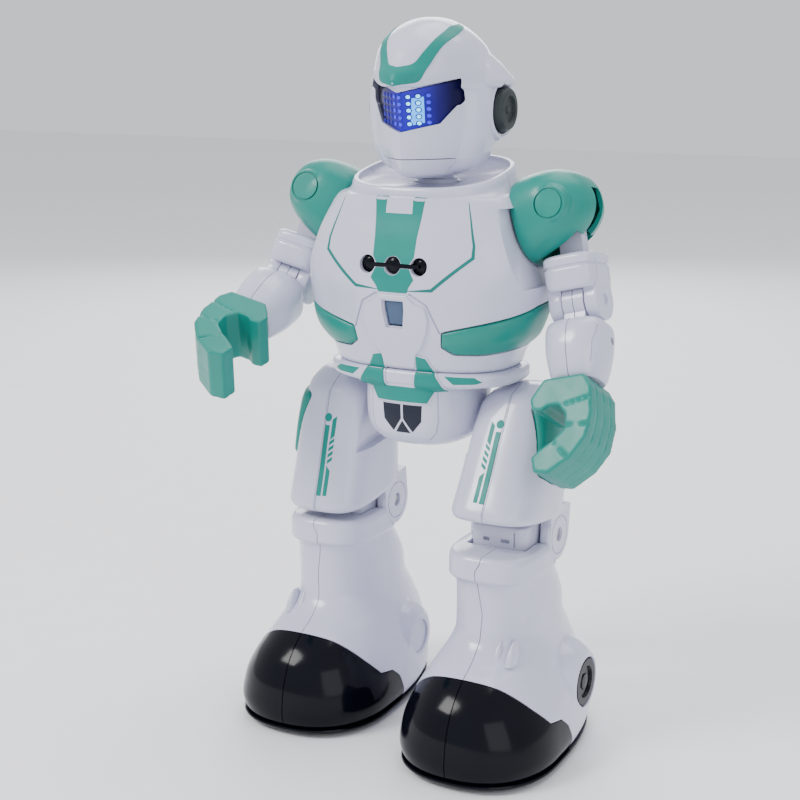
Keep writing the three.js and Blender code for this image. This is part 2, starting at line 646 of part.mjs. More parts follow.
// Rings of the shin and foot, with z measured from the floor.
const FOOT_RINGS = [
  { z: SOLE.top + GAP, x: 0.8, y: -30, side: 28.4, front: 32, back: 63, power: 2.3 },
  { z: 9, x: 0.8, y: -30, side: 29.8, front: 33, back: 64.5, power: 2.3 },
  { z: 17, x: 0.6, y: -29, side: 28.6, front: 33, back: 63.5, power: 2.3 },
  { z: 25, x: 0.3, y: -26, side: 25.6, front: 33, back: 59.5, power: 2.3 },
  { z: 31, y: -22, side: 22.6, front: 32.4, back: 54, power: 2.3 },
  { z: 36, y: -17, side: 20.4, front: 31, back: 46, power: 2.3 },
  { z: 40.5, y: -12, side: 18.6, front: 28, back: 38, power: 2.3 },
  { z: 47, y: -9, side: 17, front: 25.5, back: 30, power: 2.3 },
  { z: 56, y: -9, side: 15.8, front: 25, back: 25, power: 2.4 },
  { z: 64, y: -10, side: 15.6, front: 24.4, back: 20, power: 2.6 },
  { z: 68, y: -11.5, side: 15.8, front: 23.6, back: 18.5, power: 2.8 },
  { z: 69.5, y: -12, side: 17, front: 25, back: 19.5, power: 3 },
  { z: 76, y: -12, side: 17, front: 25, back: 18, power: 3 },
  { z: 78, y: -12, side: 16, front: 24, back: 17, power: 3 },
];

const SOLE_RINGS = [
  { ...FOOT_RINGS[0], z: SOLE.under, side: 27.6, front: 31, back: 62 },
  { ...FOOT_RINGS[0], z: SOLE.top, side: 29.2, front: 32.8, back: 64 },
];

// The line where the black toe cap meets the white foot, as [y, z] points from the front.
const TOE_OUTLINE = [
  [-90, 42],
  [-52, 39],
  [-46, 34],
  [-40, 26],
  [-34, 19.5],
  [-26, 18],
  [-21, 14],
  [-16, 3],
  [-16, -5],
  [-90, -5],
];

const SHIN_MOUTH = [-22, 30, 64, 90];
const LUG_ROOM = 11.4;
const KNEE_LINK = { radius: 9, half: 11, front: -21, rear: 4, low: 65, high: 86 };
const FOOT_MOTOR = [-9, 9, -26, 3, 10, 30];
const WHEEL_ROOM = { side: 1, drive: 0.9, roller: 1, above: 1, floor: -5 };

function footWall() {
  const { y, z } = ANKLE;
  const bulge = rodX(ANKLE.radius, ANKLE.in, ANKLE.out, y, z);
  const skin = loft(FOOT_RINGS).add(bulge);
  const room = loft(inset(FOOT_RINGS, WALL), ROUND_INSIDE);
  return skin
    .subtract(room)
    .subtract(rodX(ANKLE_DISC.room, ANKLE.out - ANKLE_DISC.deep, FAR, y, z))
    .subtract(rodX(ANKLE_DISH.radius, -FAR, ANKLE_DISH.x, y, z))
    .subtract(block(-FORK, FORK, ...SHIN_MOUTH))
    .subtract(rodX(KNEE_RADIUS + RUNNING_FIT, -FAR, -LUG_ROOM, 0, KNEE_Z))
    .subtract(rodX(KNEE_RADIUS + RUNNING_FIT, LUG_ROOM, FAR, 0, KNEE_Z))
    .subtract(wheelRoom());
}

// Clears the drive wheel and the roller.
function wheelRoom() {
  const { side, above, floor } = WHEEL_ROOM;
  const room = ({ y, radius, half }, spare) =>
    block(
      -half - side,
      half + side,
      y - radius - spare,
      y + radius + spare,
      floor,
      2 * radius + above,
    );
  return room(DRIVE_WHEEL, WHEEL_ROOM.drive).add(room(ROLLER, WHEEL_ROOM.roller));
}

function buildFoot(knee, name, side) {
  const foot = new THREE.Group();
  foot.position.z = -KNEE_Z;
  knee.add(foot);
  const wall = footWall();
  const toe = sidePlate(TOE_OUTLINE, -FAR, FAR);
  const toeRoom = sidePlate(TOE_OUTLINE.map(([y, z]) => [y + GAP, z + GAP]), -FAR, FAR);
  const upper = wall.subtract(toeRoom);
  addPiece(foot, `${name}_shin_inner`, keepInner(upper, -GAP / 2), WHITE, side);
  addPiece(foot, `${name}_shin_outer`, keepOuter(upper, GAP / 2), WHITE, side);
  addPiece(foot, `${name}_toe_cap`, wall.intersect(toe), BLACK, side);

  const sole = loft(SOLE_RINGS).subtract(wheelRoom());
  addPiece(foot, `${name}_sole`, sole, BLACK, side);

  const { y, z, out } = ANKLE;
  const disc = rodX(ANKLE_DISC.radius, out - ANKLE_DISC.thick, out, y, z);
  const dish = rodX(ANKLE_DISC.dish, out - ANKLE_DISC.dishDeep, FAR, y, z);
  addPiece(foot, `${name}_ankle_disc`, disc.subtract(dish), BLACK, side);
  addPiece(foot, `${name}_foot_motor`, block(...FOOT_MOTOR), GREY, side);

  const { half, front, rear, low, high } = KNEE_LINK;
  const tongue = block(-half, half, front, rear, low, high);
  const barrel = rodX(KNEE_LINK.radius, -half, half, 0, KNEE_Z);
  const link = barrel.add(tongue).subtract(rodX(KNEE_PIN.hole, -FAR, FAR, 0, KNEE_Z));
  addPiece(foot, `${name}_knee_link`, link, WHITE, side);

  const wheel = jointGroup(foot, `${name}_wheel_spin`, 0, DRIVE_WHEEL.y, DRIVE_WHEEL.radius);
  const tyre = rodX(DRIVE_WHEEL.radius, -DRIVE_WHEEL.half, DRIVE_WHEEL.half, 0, 0, WHEEL_SIDES.drive);
  addPiece(wheel, `${name}_drive_wheel`, tyre, GREY, side);
  const roller = jointGroup(foot, `${name}_roller_spin`, 0, ROLLER.y, ROLLER.radius);
  const bar = rodX(ROLLER.radius, -ROLLER.half, ROLLER.half, 0, 0, WHEEL_SIDES.roller);
  addPiece(roller, `${name}_roller`, bar, GREY, side);
}

function buildLeg(torso, side) {
  const name = side > 0 ? "left" : "right";
  const stride = THREE.MathUtils.degToRad(POSE[name].stride);
  const axle = rodX(HIP_AXLE.radius, HIP_AXLE.in, HIP_AXLE.out, HIP.y, HIP.z);
  addPiece(torso, `${name}_hip_axle`, axle, STEEL, side);

  const hip = jointGroup(torso, `${name}_hip`, side * LEG_X, HIP.y, HIP.z);
  hip.rotation.x = -stride;
  buildThigh(hip, name, side);

  const knee = jointGroup(hip, `${name}_knee`, 0, 0, -THIGH);
  knee.rotation.x = stride;
  buildFoot(knee, name, side);
}

// A group whose origin is a joint's pivot. Its x, y or z axis, or the swing axis, is the joint's axis.
function jointGroup(parent, joint, x, y, z) {
  const group = new THREE.Group();
  group.userData.joint = joint;
  group.position.set(x, y, z);
  parent.add(group);
  return group;
}

const robot = new THREE.Group();
const torso = new THREE.Group();
robot.add(torso);
buildTorso(torso);
buildSwitch(jointGroup(torso, "power_slide", SWITCH.x, 0, SWITCH.z));
buildHead(jointGroup(torso, "head_turn", 0, NECK.y, NECK.z));
for (const side of [1, -1]) {
  buildArm(torso, side);
  buildLeg(torso, side);
}

// The origin is the middle of the footprint, on the floor.
robot.updateMatrixWorld(true);
const bounds = new THREE.Box3().setFromObject(robot, true);
const middle = bounds.getCenter(new THREE.Vector3());
torso.position.set(-middle.x, -middle.y, -bounds.min.z);
robot.updateMatrixWorld(true);

export default robot;
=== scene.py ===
"""A walking humanoid toy robot: its finished shells, markings and materials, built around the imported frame.

Each piece is drawn in millimetres in its limb's own frame, with x pointing outwards from the robot's
middle, and is then placed by that limb's joints, mirrored for the right side.
"""

import json
import math

import bmesh
import bpy
import numpy as np
from mathutils import Matrix, Vector, geometry
from mathutils.bvhtree import BVHTree


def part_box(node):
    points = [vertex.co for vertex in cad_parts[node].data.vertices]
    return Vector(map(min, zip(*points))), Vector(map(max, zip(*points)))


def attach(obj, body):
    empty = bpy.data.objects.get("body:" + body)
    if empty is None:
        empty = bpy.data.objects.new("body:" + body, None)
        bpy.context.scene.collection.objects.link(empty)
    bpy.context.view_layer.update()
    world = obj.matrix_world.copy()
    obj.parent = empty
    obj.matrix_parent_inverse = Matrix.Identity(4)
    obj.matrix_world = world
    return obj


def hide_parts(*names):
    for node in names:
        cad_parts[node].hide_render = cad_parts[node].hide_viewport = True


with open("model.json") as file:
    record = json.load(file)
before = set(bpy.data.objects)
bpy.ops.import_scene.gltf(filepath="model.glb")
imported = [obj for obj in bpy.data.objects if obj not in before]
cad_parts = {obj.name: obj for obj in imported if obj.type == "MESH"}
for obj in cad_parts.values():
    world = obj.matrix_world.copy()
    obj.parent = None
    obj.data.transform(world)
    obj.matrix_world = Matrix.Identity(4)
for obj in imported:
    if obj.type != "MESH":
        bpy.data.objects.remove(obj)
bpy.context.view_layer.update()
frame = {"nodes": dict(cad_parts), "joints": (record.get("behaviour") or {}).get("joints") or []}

MM = 0.001
AROUND = 112
STEPS = 6
FAR = 200.0
GAP = 0.3
WALL = 2.0
SIDES = {"left": 1, "right": -1}

# The robot's own measures, from its hip, knee and neck heights
NECK = Vector((0, 5, 205))
SHOULDER = Vector((36.5, 8, 193))
SHOULDER_TILT = math.radians(20)
BOSS = Vector((14.5, 0, 6.5))
UPPER_ARM = 34.7
FOREARM = 31.0
THIGH = 45.0
KNEE_Z = 79.0
EAR = (0, 9, 233.5)
KNEE = (0, 0, KNEE_Z)
THIGH_KNEE = (0, 0, -THIGH)
ELBOW = (0, 0, -UPPER_ARM)
MIRROR = Matrix.Scale(-1, 4, (1, 0, 0))


# Frames

def joint(name):
    return next(j for j in frame["joints"] if j["name"] == name)


def pivot(name):
    return Vector(joint(name)["pos_m"])


def axes_frame(x, y, z, origin):
    """The matrix that takes millimetres along x, y and z from an origin to metres in the robot's frame."""
    matrix = Matrix((x, y, z)).transposed().to_4x4() @ Matrix.Scale(MM, 4)
    matrix.translation = origin
    return matrix


TORSO_PLACE = axes_frame(
    Vector((1, 0, 0)), Vector((0, 1, 0)), Vector((0, 0, 1)), pivot("head_turn") - NECK * MM
)


def limb_frames(side):
    """The frame of each limb on one side, with x outwards, from its joints' pivots and axes."""
    sign = SIDES[side]
    axis = {j["name"]: Vector(j["axis"]) for j in frame["joints"] if j.get("axis")}
    out = Vector((sign, 0, 0))
    up = Vector((0, 0, 1))
    along = -sign * axis[f"{side}_arm_lift"]
    swing = -axis[f"{side}_shoulder_swing"]
    across = swing.cross(along)
    tilt_cos = math.cos(SHOULDER_TILT)
    tilt_sin = math.sin(SHOULDER_TILT) * sign
    cap_x = (swing * tilt_cos - across * tilt_sin) * sign
    cap_z = swing * tilt_sin + across * tilt_cos
    arm_x = -axis[f"{side}_elbow"] * sign
    arm_z = (arm_x * sign).cross(along)
    fore_z = axis[f"{side}_wrist_turn"] * sign
    fore_y = fore_z.cross(arm_x * sign)
    hip = pivot(f"{side}_hip")
    knee = pivot(f"{side}_knee")
    thigh_z = (hip - knee).normalized()
    thigh_y = thigh_z.cross(Vector((1, 0, 0)))
    floor = Vector((knee.x, knee.y, knee.z - KNEE_Z * MM))
    return {
        "cap": axes_frame(cap_x, along, cap_z, pivot(f"{side}_shoulder_swing")),
        "upper_arm": axes_frame(arm_x, along, arm_z, pivot(f"{side}_arm_lift")),
        "forearm": axes_frame(arm_x, fore_y, fore_z, pivot(f"{side}_elbow")),
        "hand": axes_frame(arm_x, fore_y, fore_z, pivot(f"{side}_wrist_turn")),
        "thigh": axes_frame(out, thigh_y, thigh_z, hip),
        "foot": axes_frame(out, Vector((0, 1, 0)), up, floor),
    }


# Camera, floor and light

CAMERA = {
    "azimuth": 28.0,
    "elevation": 13.0,
    "distance": 0.6,
    "lens": 70.5,
    "aim": Vector((-0.0131, 0, 0.1235)),
}
LAMPS_AIM = Vector((0, 0, 0.13))
FLOOR_REACH = 3.0
FLOOR_DROP = 0.0002


def make_camera():
    azimuth = math.radians(CAMERA["azimuth"])
    elevation = math.radians(CAMERA["elevation"])
    back = Vector(
        (
            math.sin(azimuth) * math.cos(elevation),
            -math.cos(azimuth) * math.cos(elevation),
            math.sin(elevation),
        )
    )
    camera = bpy.data.objects.new("camera", bpy.data.cameras.new("camera"))
    camera.data.sensor_width = 36.0
    camera.data.lens = CAMERA["lens"]
    camera.data.clip_start = 0.01
    camera.location = CAMERA["aim"] + TORSO_PLACE.translation + back * CAMERA["distance"]
    camera.rotation_mode = "QUATERNION"
    camera.rotation_quaternion = back.to_track_quat("Z", "Y")
    bpy.context.scene.collection.objects.link(camera)
    bpy.context.scene.camera = camera


def area_light(name, place, size, power, colour=(1, 1, 1)):
    light = bpy.data.lights.new(name, "AREA")
    light.shape = "RECTANGLE"
    light.size = size[0]
    light.size_y = size[1]
    light.energy = power
    light.color = colour
    lamp = bpy.data.objects.new(name, light)
    lamp.location = place
    aim = LAMPS_AIM - Vector(place)
    lamp.rotation_mode = "QUATERNION"
    lamp.rotation_quaternion = aim.to_track_quat("-Z", "Y")
    bpy.context.scene.collection.objects.link(lamp)


def make_studio():
    area_light("key", (-0.6, -0.7, 0.95), (0.42, 0.42), 11.0, (1.0, 0.99, 0.97))
    area_light("fill", (0.95, -0.75, 0.45), (0.8, 0.8), 3.6, (0.94, 0.96, 1.0))
    area_light("top", (0.1, 0.35, 1.2), (0.9, 0.9), 8.0)
    area_light("rear", (-0.5, 0.95, 0.6), (0.7, 0.7), 6.0, (0.95, 0.97, 1.0))
    world = bpy.data.worlds.new("studio")
    world.use_nodes = True
    sky = world.node_tree.nodes["Background"]
    sky.inputs["Color"].default_value = (0.90, 0.92, 0.96, 1)
    sky.inputs["Strength"].default_value = 0.95
    bpy.context.scene.world = world
    corners = [(x, y, 0) for x, y in rectangle(-FLOOR_REACH, FLOOR_REACH, -FLOOR_REACH, FLOOR_REACH)]
    floor = mesh_object(corners, [(0, 1, 2, 3)], "floor")
    floor.location.z = -FLOOR_DROP
    floor.data.materials.append(floor_material())


# Solids

def mesh_object(points, faces, name="solid"):
    mesh = bpy.data.meshes.new(name)
    mesh.from_pydata([tuple(p) for p in points], [], [tuple(f) for f in faces])
    body = bpy.data.objects.new(name, mesh)
    bpy.context.scene.collection.objects.link(body)
    return body


def outward(body):
    """Turns every face of a closed body outwards."""
    work = bmesh.new()
    work.from_mesh(body.data)
    bmesh.ops.recalc_face_normals(work, faces=work.faces)
    work.to_mesh(body.data)
    work.free()
    return body


def applied(body):
    graph = bpy.context.evaluated_depsgraph_get()
    mesh = bpy.data.meshes.new_from_object(body.evaluated_get(graph))
    old = body.data
    body.modifiers.clear()
    body.data = mesh
    bpy.data.meshes.remove(old)
    return body


def combined(body, others, how):
    for other in others:
        step = body.modifiers.new("step", "BOOLEAN")
        step.operation = how
        step.solver = "MANIFOLD"
        step.object = other
    applied(body)
    for other in others:
        bpy.data.objects.remove(other)
    return body


def cut(body, *others):
    return combined(body, others, "DIFFERENCE")


def joined(body, *others):
    return combined(body, others, "UNION")


def common(body, *others):
    return combined(body, others, "INTERSECT")


def copied(body):
    twin = body.copy()
    twin.data = body.data.copy()
    bpy.context.scene.collection.objects.link(twin)
    return twin


def moved(body, matrix):
    body.data.transform(matrix)
    if matrix.determinant() < 0:
        body.data.flip_normals()
    return body


def on_side(body, sign):
    """The body as it is for the left side, or its mirror image for the right."""
    return body if sign > 0 else moved(body, MIRROR)


def halves(body):
    """The inner and outer halves of a shell, with a seam between them."""
    inner = common(copied(body), box(-FAR, -GAP / 2, -FAR, FAR, -FAR, FAR))
    return inner, common(body, box(GAP / 2, FAR, -FAR, FAR, -FAR, FAR))


def softened(body, voxel=0.45, rounds=6):
    """Rounds every edge a little, as moulded plastic is."""
    remesh = body.modifiers.new("remesh", "REMESH")
    remesh.mode = "VOXEL"
    remesh.voxel_size = voxel
    relax = body.modifiers.new("relax", "SMOOTH")
    relax.factor = 0.5
    relax.iterations = rounds
    return applied(body)


def ring(z, side, front, back, y=0.0, x=0.0, power=2.6, front_power=None, lean=0.0):
    """One level of a loft: half width, depths in front of and behind y, and how square its corners are."""
    return [z, x, y, side, front, back, power, front_power or power, lean]


def smooth_rows(rows, steps):
    """A curve through each column of the rows that never overshoots them."""
    rows = np.array(rows, float)
    rise = np.diff(rows, axis=0)
    slope = np.zeros_like(rows)
    before, after = rise[:-1], rise[1:]
    same = before * after > 0
    total = np.where(same, before + after, 1.0)
    slope[1:-1] = np.where(same, 2 * before * after / total, 0.0)
    slope[0], slope[-1] = rise[0], rise[-1]
    made = []
    for i in range(len(rise)):
        for t in np.arange(steps) / steps:
            made.append(
                (2 * t**3 - 3 * t**2 + 1) * rows[i]
                + (t**3 - 2 * t**2 + t) * slope[i]
                + (3 * t**2 - 2 * t**3) * rows[i + 1]
                + (t**3 - t**2) * slope[i + 1]
            )
    made.append(rows[-1])
    return np.array(made)


def loft(rings, around=AROUND, steps=STEPS):
    rows = smooth_rows(rings, steps)
    turn = 2 * math.pi * np.arange(around) / around
    across, along = np.cos(turn), np.sin(turn)
    points = []
    for z, x, y, side, front, back, power, front_power, lean in rows:
        bend = np.where(along < 0, front_power, power)
        reach = (np.abs(across) ** bend + np.abs(along) ** bend) ** (-1 / bend)
        depth = np.where(along < 0, front, back)
        px = x + side * reach * across
        py = y + depth * reach * along
        points.extend(zip(px, py, z + lean * py))
    return mesh_object(points, tube_faces(len(rows), around))


def tube_faces(levels, around):
    faces = [tuple(reversed(range(around)))]
    for level in range(levels - 1):
        low = level * around
        for i in range(around):
            j = (i + 1) % around
            faces.append((low + i, low + j, low + around + j, low + around + i))
    last = (levels - 1) * around
    faces.append(tuple(range(last, last + around)))
    return faces


def inset(rings, wall, lift=0.0):
    """The same rings drawn in all round by a wall."""
    made = []
    for z, x, y, side, front, back, power, front_power, lean in rings:
        made.append([z + lift, x, y, side - wall, front - wall, back - wall, power, front_power, lean])
    return made


def rectangle(u0, u1, v0, v1):
    return [(u0, v0), (u1, v0), (u1, v1), (u0, v1)]


def box(x0, x1, y0, y1, z0, z1):
    points = [(x, y, z) for z in (z0, z1) for x, y in rectangle(x0, x1, y0, y1)]
    return mesh_object(points, tube_faces(2, 4))


def turned(profile, axis="x", at=(0, 0, 0), sides=56):
    """A round solid from (place along the axis, radius) pairs, with flat ends."""
    turn = 2 * math.pi * np.arange(sides) / sides
    points = []
    for along, radius in profile:
        for c, s in zip(np.cos(turn) * radius, np.sin(turn) * radius):
            local = {"x": (along, c, s), "y": (s, along, c), "z": (c, s, along)}[axis]
            points.append(np.array(local) + np.array(at))
    return outward(mesh_object(points, tube_faces(len(profile), sides)))


def rod(radius, low, high, axis="x", at=(0, 0, 0), sides=56):
    return turned([(low, radius), (high, radius)], axis, at, sides)


def disc(radius, low, high, axis="x", at=(0, 0, 0), edge=0.5):
    """A round plate with both rims rounded."""
    turns = [math.pi / 2 * k / 4 for k in range(5)]
    near = [(edge * (1 - math.cos(t)), radius - edge * (1 - math.sin(t))) for t in turns]
    profile = [(low + a, r) for a, r in near] + [(high - a, r) for a, r in reversed(near)]
    return turned(profile, axis, at)


def prism(outline, low, high, axis="y"):
    """An outline pushed along an axis: of (x, z) along y, of (y, z) along x, or of (x, y) along z."""
    place = {
        "y": lambda u, v, w: (u, w, v),
        "x": lambda u, v, w: (w, u, v),
        "z": lambda u, v, w: (u, v, w),
    }[axis]
    points = [place(u, v, w) for w in (low, high) for u, v in outline]
    return outward(mesh_object(points, tube_faces(2, len(outline))))


# Outlines

def mirrored(half):
    """A symmetrical outline from the points of its right half, listed from top to bottom."""
    return list(half) + [(-u, v) for u, v in reversed(half) if abs(u) > 1e-6]


def mirrored_top(half):
    """A symmetrical outline whose first and last points lie on the middle line."""
    return list(half) + [(-u, v) for u, v in reversed(half[1:-1])]


def sided(outline, sign):
    """An outline as it is for the left side, or turned over for the right."""
    return outline if sign > 0 else [(-u, v) for u, v in reversed(outline)]


def swung(line, sign):
    """A line on the left side, or the same line on the right."""
    return [(sign * u, v) for u, v in line]


def rounded(outline, radius):
    """The outline with each corner replaced by a short curve."""
    made = []
    count = len(outline)
    for i in range(count):
        here = Vector(outline[i])
        before = Vector(outline[i - 1]) - here
        after = Vector(outline[(i + 1) % count]) - here
        start = here + before.normalized() * min(radius, before.length * 0.45)
        end = here + after.normalized() * min(radius, after.length * 0.45)
        for t in (0, 0.25, 0.5, 0.75, 1):
            made.append(tuple(start * (1 - t) ** 2 + here * 2 * t * (1 - t) + end * t**2))
    return made


def stroke(points, widths):
    """The outline of a line whose width changes from point to point."""
    near, far = [], []
    for i, (point, width) in enumerate(zip(points, widths)):
        here = Vector(point)
        before = (here - Vector(points[max(i - 1, 0)])).normalized()
        after = (Vector(points[min(i + 1, len(points) - 1)]) - here).normalized()
        way = (before + after).normalized()
        normal = Vector((-way.y, way.x)) * width / 2
        near.append(tuple(here + normal))
        far.append(tuple(here - normal))
    return near + far[::-1]


def circle(centre, radius, count=28):
    turn = 2 * math.pi * np.arange(count) / count
    return [(centre[0] + radius * c, centre[1] + radius * s) for c, s in zip(np.cos(turn), np.sin(turn))]


def dense(outline, spacing):
    made = []
    for i, point in enumerate(outline):
        start = np.array(point, float)
        end = np.array(outline[(i + 1) % len(outline)], float)
        count = max(1, math.ceil(np.linalg.norm(end - start) / spacing))
        made.extend(start + (end - start) * k / count for k in range(count))
    return np.array(made)


def signed_area(points):
    x, y = points[:, 0], points[:, 1]
    return 0.5 * np.sum(x * np.roll(y, -1) - np.roll(x, -1) * y)


def drawn_in(points, distance):
    """A closed outline moved inwards, with its corners mitred."""
    back = points - np.roll(points, 1, axis=0)
    ahead = np.roll(points, -1, axis=0) - points
    normal = []
    for edge in (back, ahead):
        edge = edge / np.maximum(np.linalg.norm(edge, axis=1, keepdims=True), 1e-9)
        normal.append(np.stack([-edge[:, 1], edge[:, 0]], axis=1))
    middle = normal[0] + normal[1]
    middle /= np.maximum(np.linalg.norm(middle, axis=1, keepdims=True), 1e-9)
    mitre = 1 / np.clip(np.sum(middle * normal[1], axis=1), 0.5, 1)
    return points + middle * (distance * mitre)[:, None]


def grown(outline, margin, spacing=None):
    """An outline moved outwards by a margin, with points added along it when a spacing is given."""
    points = dense(outline, spacing) if spacing else np.array(outline, float)
    if signed_area(points) < 0:
        points = points[::-1]
    return [tuple(p) for p in drawn_in(points, -margin)]


class Skin:
    """A body's outside seen from one way, so that a flat outline can be laid on it.

    way is front, back, out or top for parallel rays, or round for rays towards an upright axis, where u
    is an angle in degrees from the front, and ball for rays towards a point, where v is also an angle.
    """

    def __init__(self, body, way, centre=(0, 0, 0), radius=30.0):
        mesh = body.data
        self.tree = BVHTree.FromPolygons(
            [v.co.copy() for v in mesh.vertices], [tuple(p.vertices) for p in mesh.polygons]
        )
        self.way = way
        self.centre = Vector(centre)
        arc = math.radians(1) * radius
        self.scale = {"round": (arc, 1.0), "ball": (arc, arc)}.get(way, (1.0, 1.0))

    def at(self, u, v):
        if self.way == "front":
            start, ray = Vector((u, -FAR, v)), Vector((0, 1, 0))
        elif self.way == "back":
            start, ray = Vector((u, FAR, v)), Vector((0, -1, 0))
        elif self.way == "out":
            start, ray = Vector((FAR, u, v)), Vector((-1, 0, 0))
        elif self.way == "top":
            start, ray = Vector((u, v, FAR)), Vector((0, 0, -1))
        else:
            turn = math.radians(u)
            rise = math.radians(v) if self.way == "ball" else 0.0
            flat = math.cos(rise)
            away = Vector((math.sin(turn) * flat, -math.cos(turn) * flat, math.sin(rise)))
            level = 0.0 if self.way == "ball" else v - self.centre.z
            start = self.centre + Vector((0, 0, level)) + away * FAR
            ray = -away
        place, normal, _, _ = self.tree.ray_cast(start, ray)
        if place is None:
            place, normal, _, _ = self.tree.find_nearest(start + ray * (FAR - 20))
        return place, normal


def patch(skin, outline, levels, spacing=1.0, crown=0.0, reach=6.0):
    """A closed plate that follows a skin. levels are (drawn in, height) pairs from its foot to its top.

    crown raises its middle, over a distance reach from its edge.
    """
    scale = np.array(skin.scale)
    edge = dense([tuple(np.array(p) * scale) for p in outline], spacing)
    if signed_area(edge) < 0:
        edge = edge[::-1]
    count = len(edge)
    rings = [drawn_in(edge, inward) for inward, _ in levels]
    inner = rings[-1]
    low, high = inner.min(0), inner.max(0)
    grid = np.stack(
        np.meshgrid(np.arange(low[0], high[0], spacing), np.arange(low[1], high[1], spacing)), -1
    ).reshape(-1, 2)
    if len(grid):
        grid = grid[inside(grid, inner) & (edge_distance(grid, inner) > spacing * 0.45)]
    flat = [Vector(p) for p in np.concatenate([inner, grid])]
    found = geometry.delaunay_2d_cdt(flat, [], [list(range(count))], 1, 1e-5)
    top_flat = np.array([tuple(p) for p in found[0]])
    owner = {old: new for new, olds in enumerate(found[3]) for old in olds}
    rise = np.minimum(edge_distance(top_flat, edge) / reach, 1)
    extra = crown * (1 - (1 - rise) ** 2)
    points, faces = [], []
    for (_, height), line in zip(levels[:-1], rings[:-1]):
        points.extend(raised(skin, line / scale, np.full(count, height)))
    base = len(points)
    points.extend(raised(skin, top_flat / scale, levels[-1][1] + extra))
    foot = len(points)
    foot_flat = top_flat.copy()
    for i in range(count):
        foot_flat[owner[i]] = rings[0][i]
    points.extend(raised(skin, foot_flat / scale, np.full(len(foot_flat), levels[0][1])))

    def index(level, i):
        i %= count
        if level == 0:
            return foot + owner[i]
        if level == len(levels) - 1:
            return base + owner[i]
        return level * count + i

    for level in range(len(levels) - 1):
        for i in range(count):
            faces.append((index(level, i), index(level, i + 1), index(level + 1, i + 1), index(level + 1, i)))
    for face in found[2]:
        faces.append(tuple(base + i for i in face))
        faces.append(tuple(foot + i for i in reversed(face)))
    body = mesh_object(points, faces)
    work = bmesh.new()
    work.from_mesh(body.data)
    bmesh.ops.delete(work, geom=[v for v in work.verts if not v.link_faces], context="VERTS")
    bmesh.ops.recalc_face_normals(work, faces=work.faces)
    work.to_mesh(body.data)
    work.free()
    return body


def raised(skin, flat, heights):
    made = []
    for (u, v), height in zip(flat, heights):
        place, normal = skin.at(u, v)
        made.append(place + normal * height)
    return made


def inside(points, outline):
    x, y = points[:, 0], points[:, 1]
    odd = np.zeros(len(points), bool)
    for (x0, y0), (x1, y1) in zip(outline, np.roll(outline, -1, axis=0)):
        if y0 != y1:
            odd ^= ((y0 > y) != (y1 > y)) & (x < (x1 - x0) * (y - y0) / (y1 - y0) + x0)
    return odd


def edge_distance(points, outline):
    best = np.full(len(points), 1e9)
    for start, end in zip(outline, np.roll(outline, -1, axis=0)):
        way = end - start
        t = np.clip((points - start) @ way / max(way @ way, 1e-9), 0, 1)
        best = np.minimum(best, np.linalg.norm(points - start - t[:, None] * way, axis=1))
    return best


# Levels of a print, of a panel let into a shell and of a plate on top of one: (drawn in, height)
PAINT = [(0, -0.3), (0, 0.04), (0.05, 0.09)]
PANEL = [(0, -1.3), (0, -0.25), (0.12, 0.02), (0.35, 0.2), (0.7, 0.3)]
PLATE = [(0, -0.6), (0, 0.35), (0.1, 0.6), (0.3, 0.78), (0.6, 0.85)]


def groove(skin, points, width=0.5, depth=0.6, closed=False):
    """A cutter for a narrow seam that follows a line on a skin."""
    line = [np.array(p, float) for p in points]
    if closed:
        line.append(line[0])
    path = []
    for start, end in zip(line, line[1:]):
        count = max(1, math.ceil(np.linalg.norm((end - start) * np.array(skin.scale))))
        path.extend(start + (end - start) * k / count for k in range(count))
    path.append(line[-1])
    spots = [skin.at(*p) for p in path]
    made = []
    for i, (place, normal) in enumerate(spots):
        way = (spots[min(i + 1, len(spots) - 1)][0] - spots[max(i - 1, 0)][0]).normalized()
        across = way.cross(normal).normalized()
        half = across * width / 2
        made.extend(
            [
                place + normal * 0.4 + half * 1.5,
                place + normal * 0.4 - half * 1.5,
                place - normal * depth - half * 0.4,
                place - normal * depth + half * 0.4,
            ]
        )
    return outward(mesh_object(made, tube_faces(len(spots), 4)))


# Materials

def base_material(name):
    material = bpy.data.materials.new(name)
    material.use_nodes = True
    nodes = material.node_tree.nodes
    return material, nodes, material.node_tree.links, nodes["Principled BSDF"]


def noise(nodes, links, scale, detail=2.0):
    place = nodes.new("ShaderNodeTexCoord")
    texture = nodes.new("ShaderNodeTexNoise")
    texture.inputs["Scale"].default_value = scale
    texture.inputs["Detail"].default_value = detail
    links.new(place.outputs["Object"], texture.inputs["Vector"])
    return texture.outputs["Fac"]


def spread(nodes, links, source, low, high):
    """A noise stretched to run from low to high."""
    span = nodes.new("ShaderNodeMapRange")
    span.inputs["From Min"].default_value = 0.3
    span.inputs["From Max"].default_value = 0.7
    span.inputs["To Min"].default_value = low
    span.inputs["To Max"].default_value = high
    links.new(source, span.inputs["Value"])
    return span.outputs["Result"]


def tinted(nodes, links, source, first, second):
    mix = nodes.new("ShaderNodeMix")
    mix.data_type = "RGBA"
    mix.inputs["A"].default_value = (*first, 1)
    mix.inputs["B"].default_value = (*second, 1)
    links.new(source, mix.inputs["Factor"])
    return mix.outputs["Result"]


def bumped(nodes, links, source, strength, distance):
    bump = nodes.new("ShaderNodeBump")
    bump.inputs["Strength"].default_value = strength
    bump.inputs["Distance"].default_value = distance
    links.new(source, bump.inputs["Height"])
    return bump.outputs["Normal"]


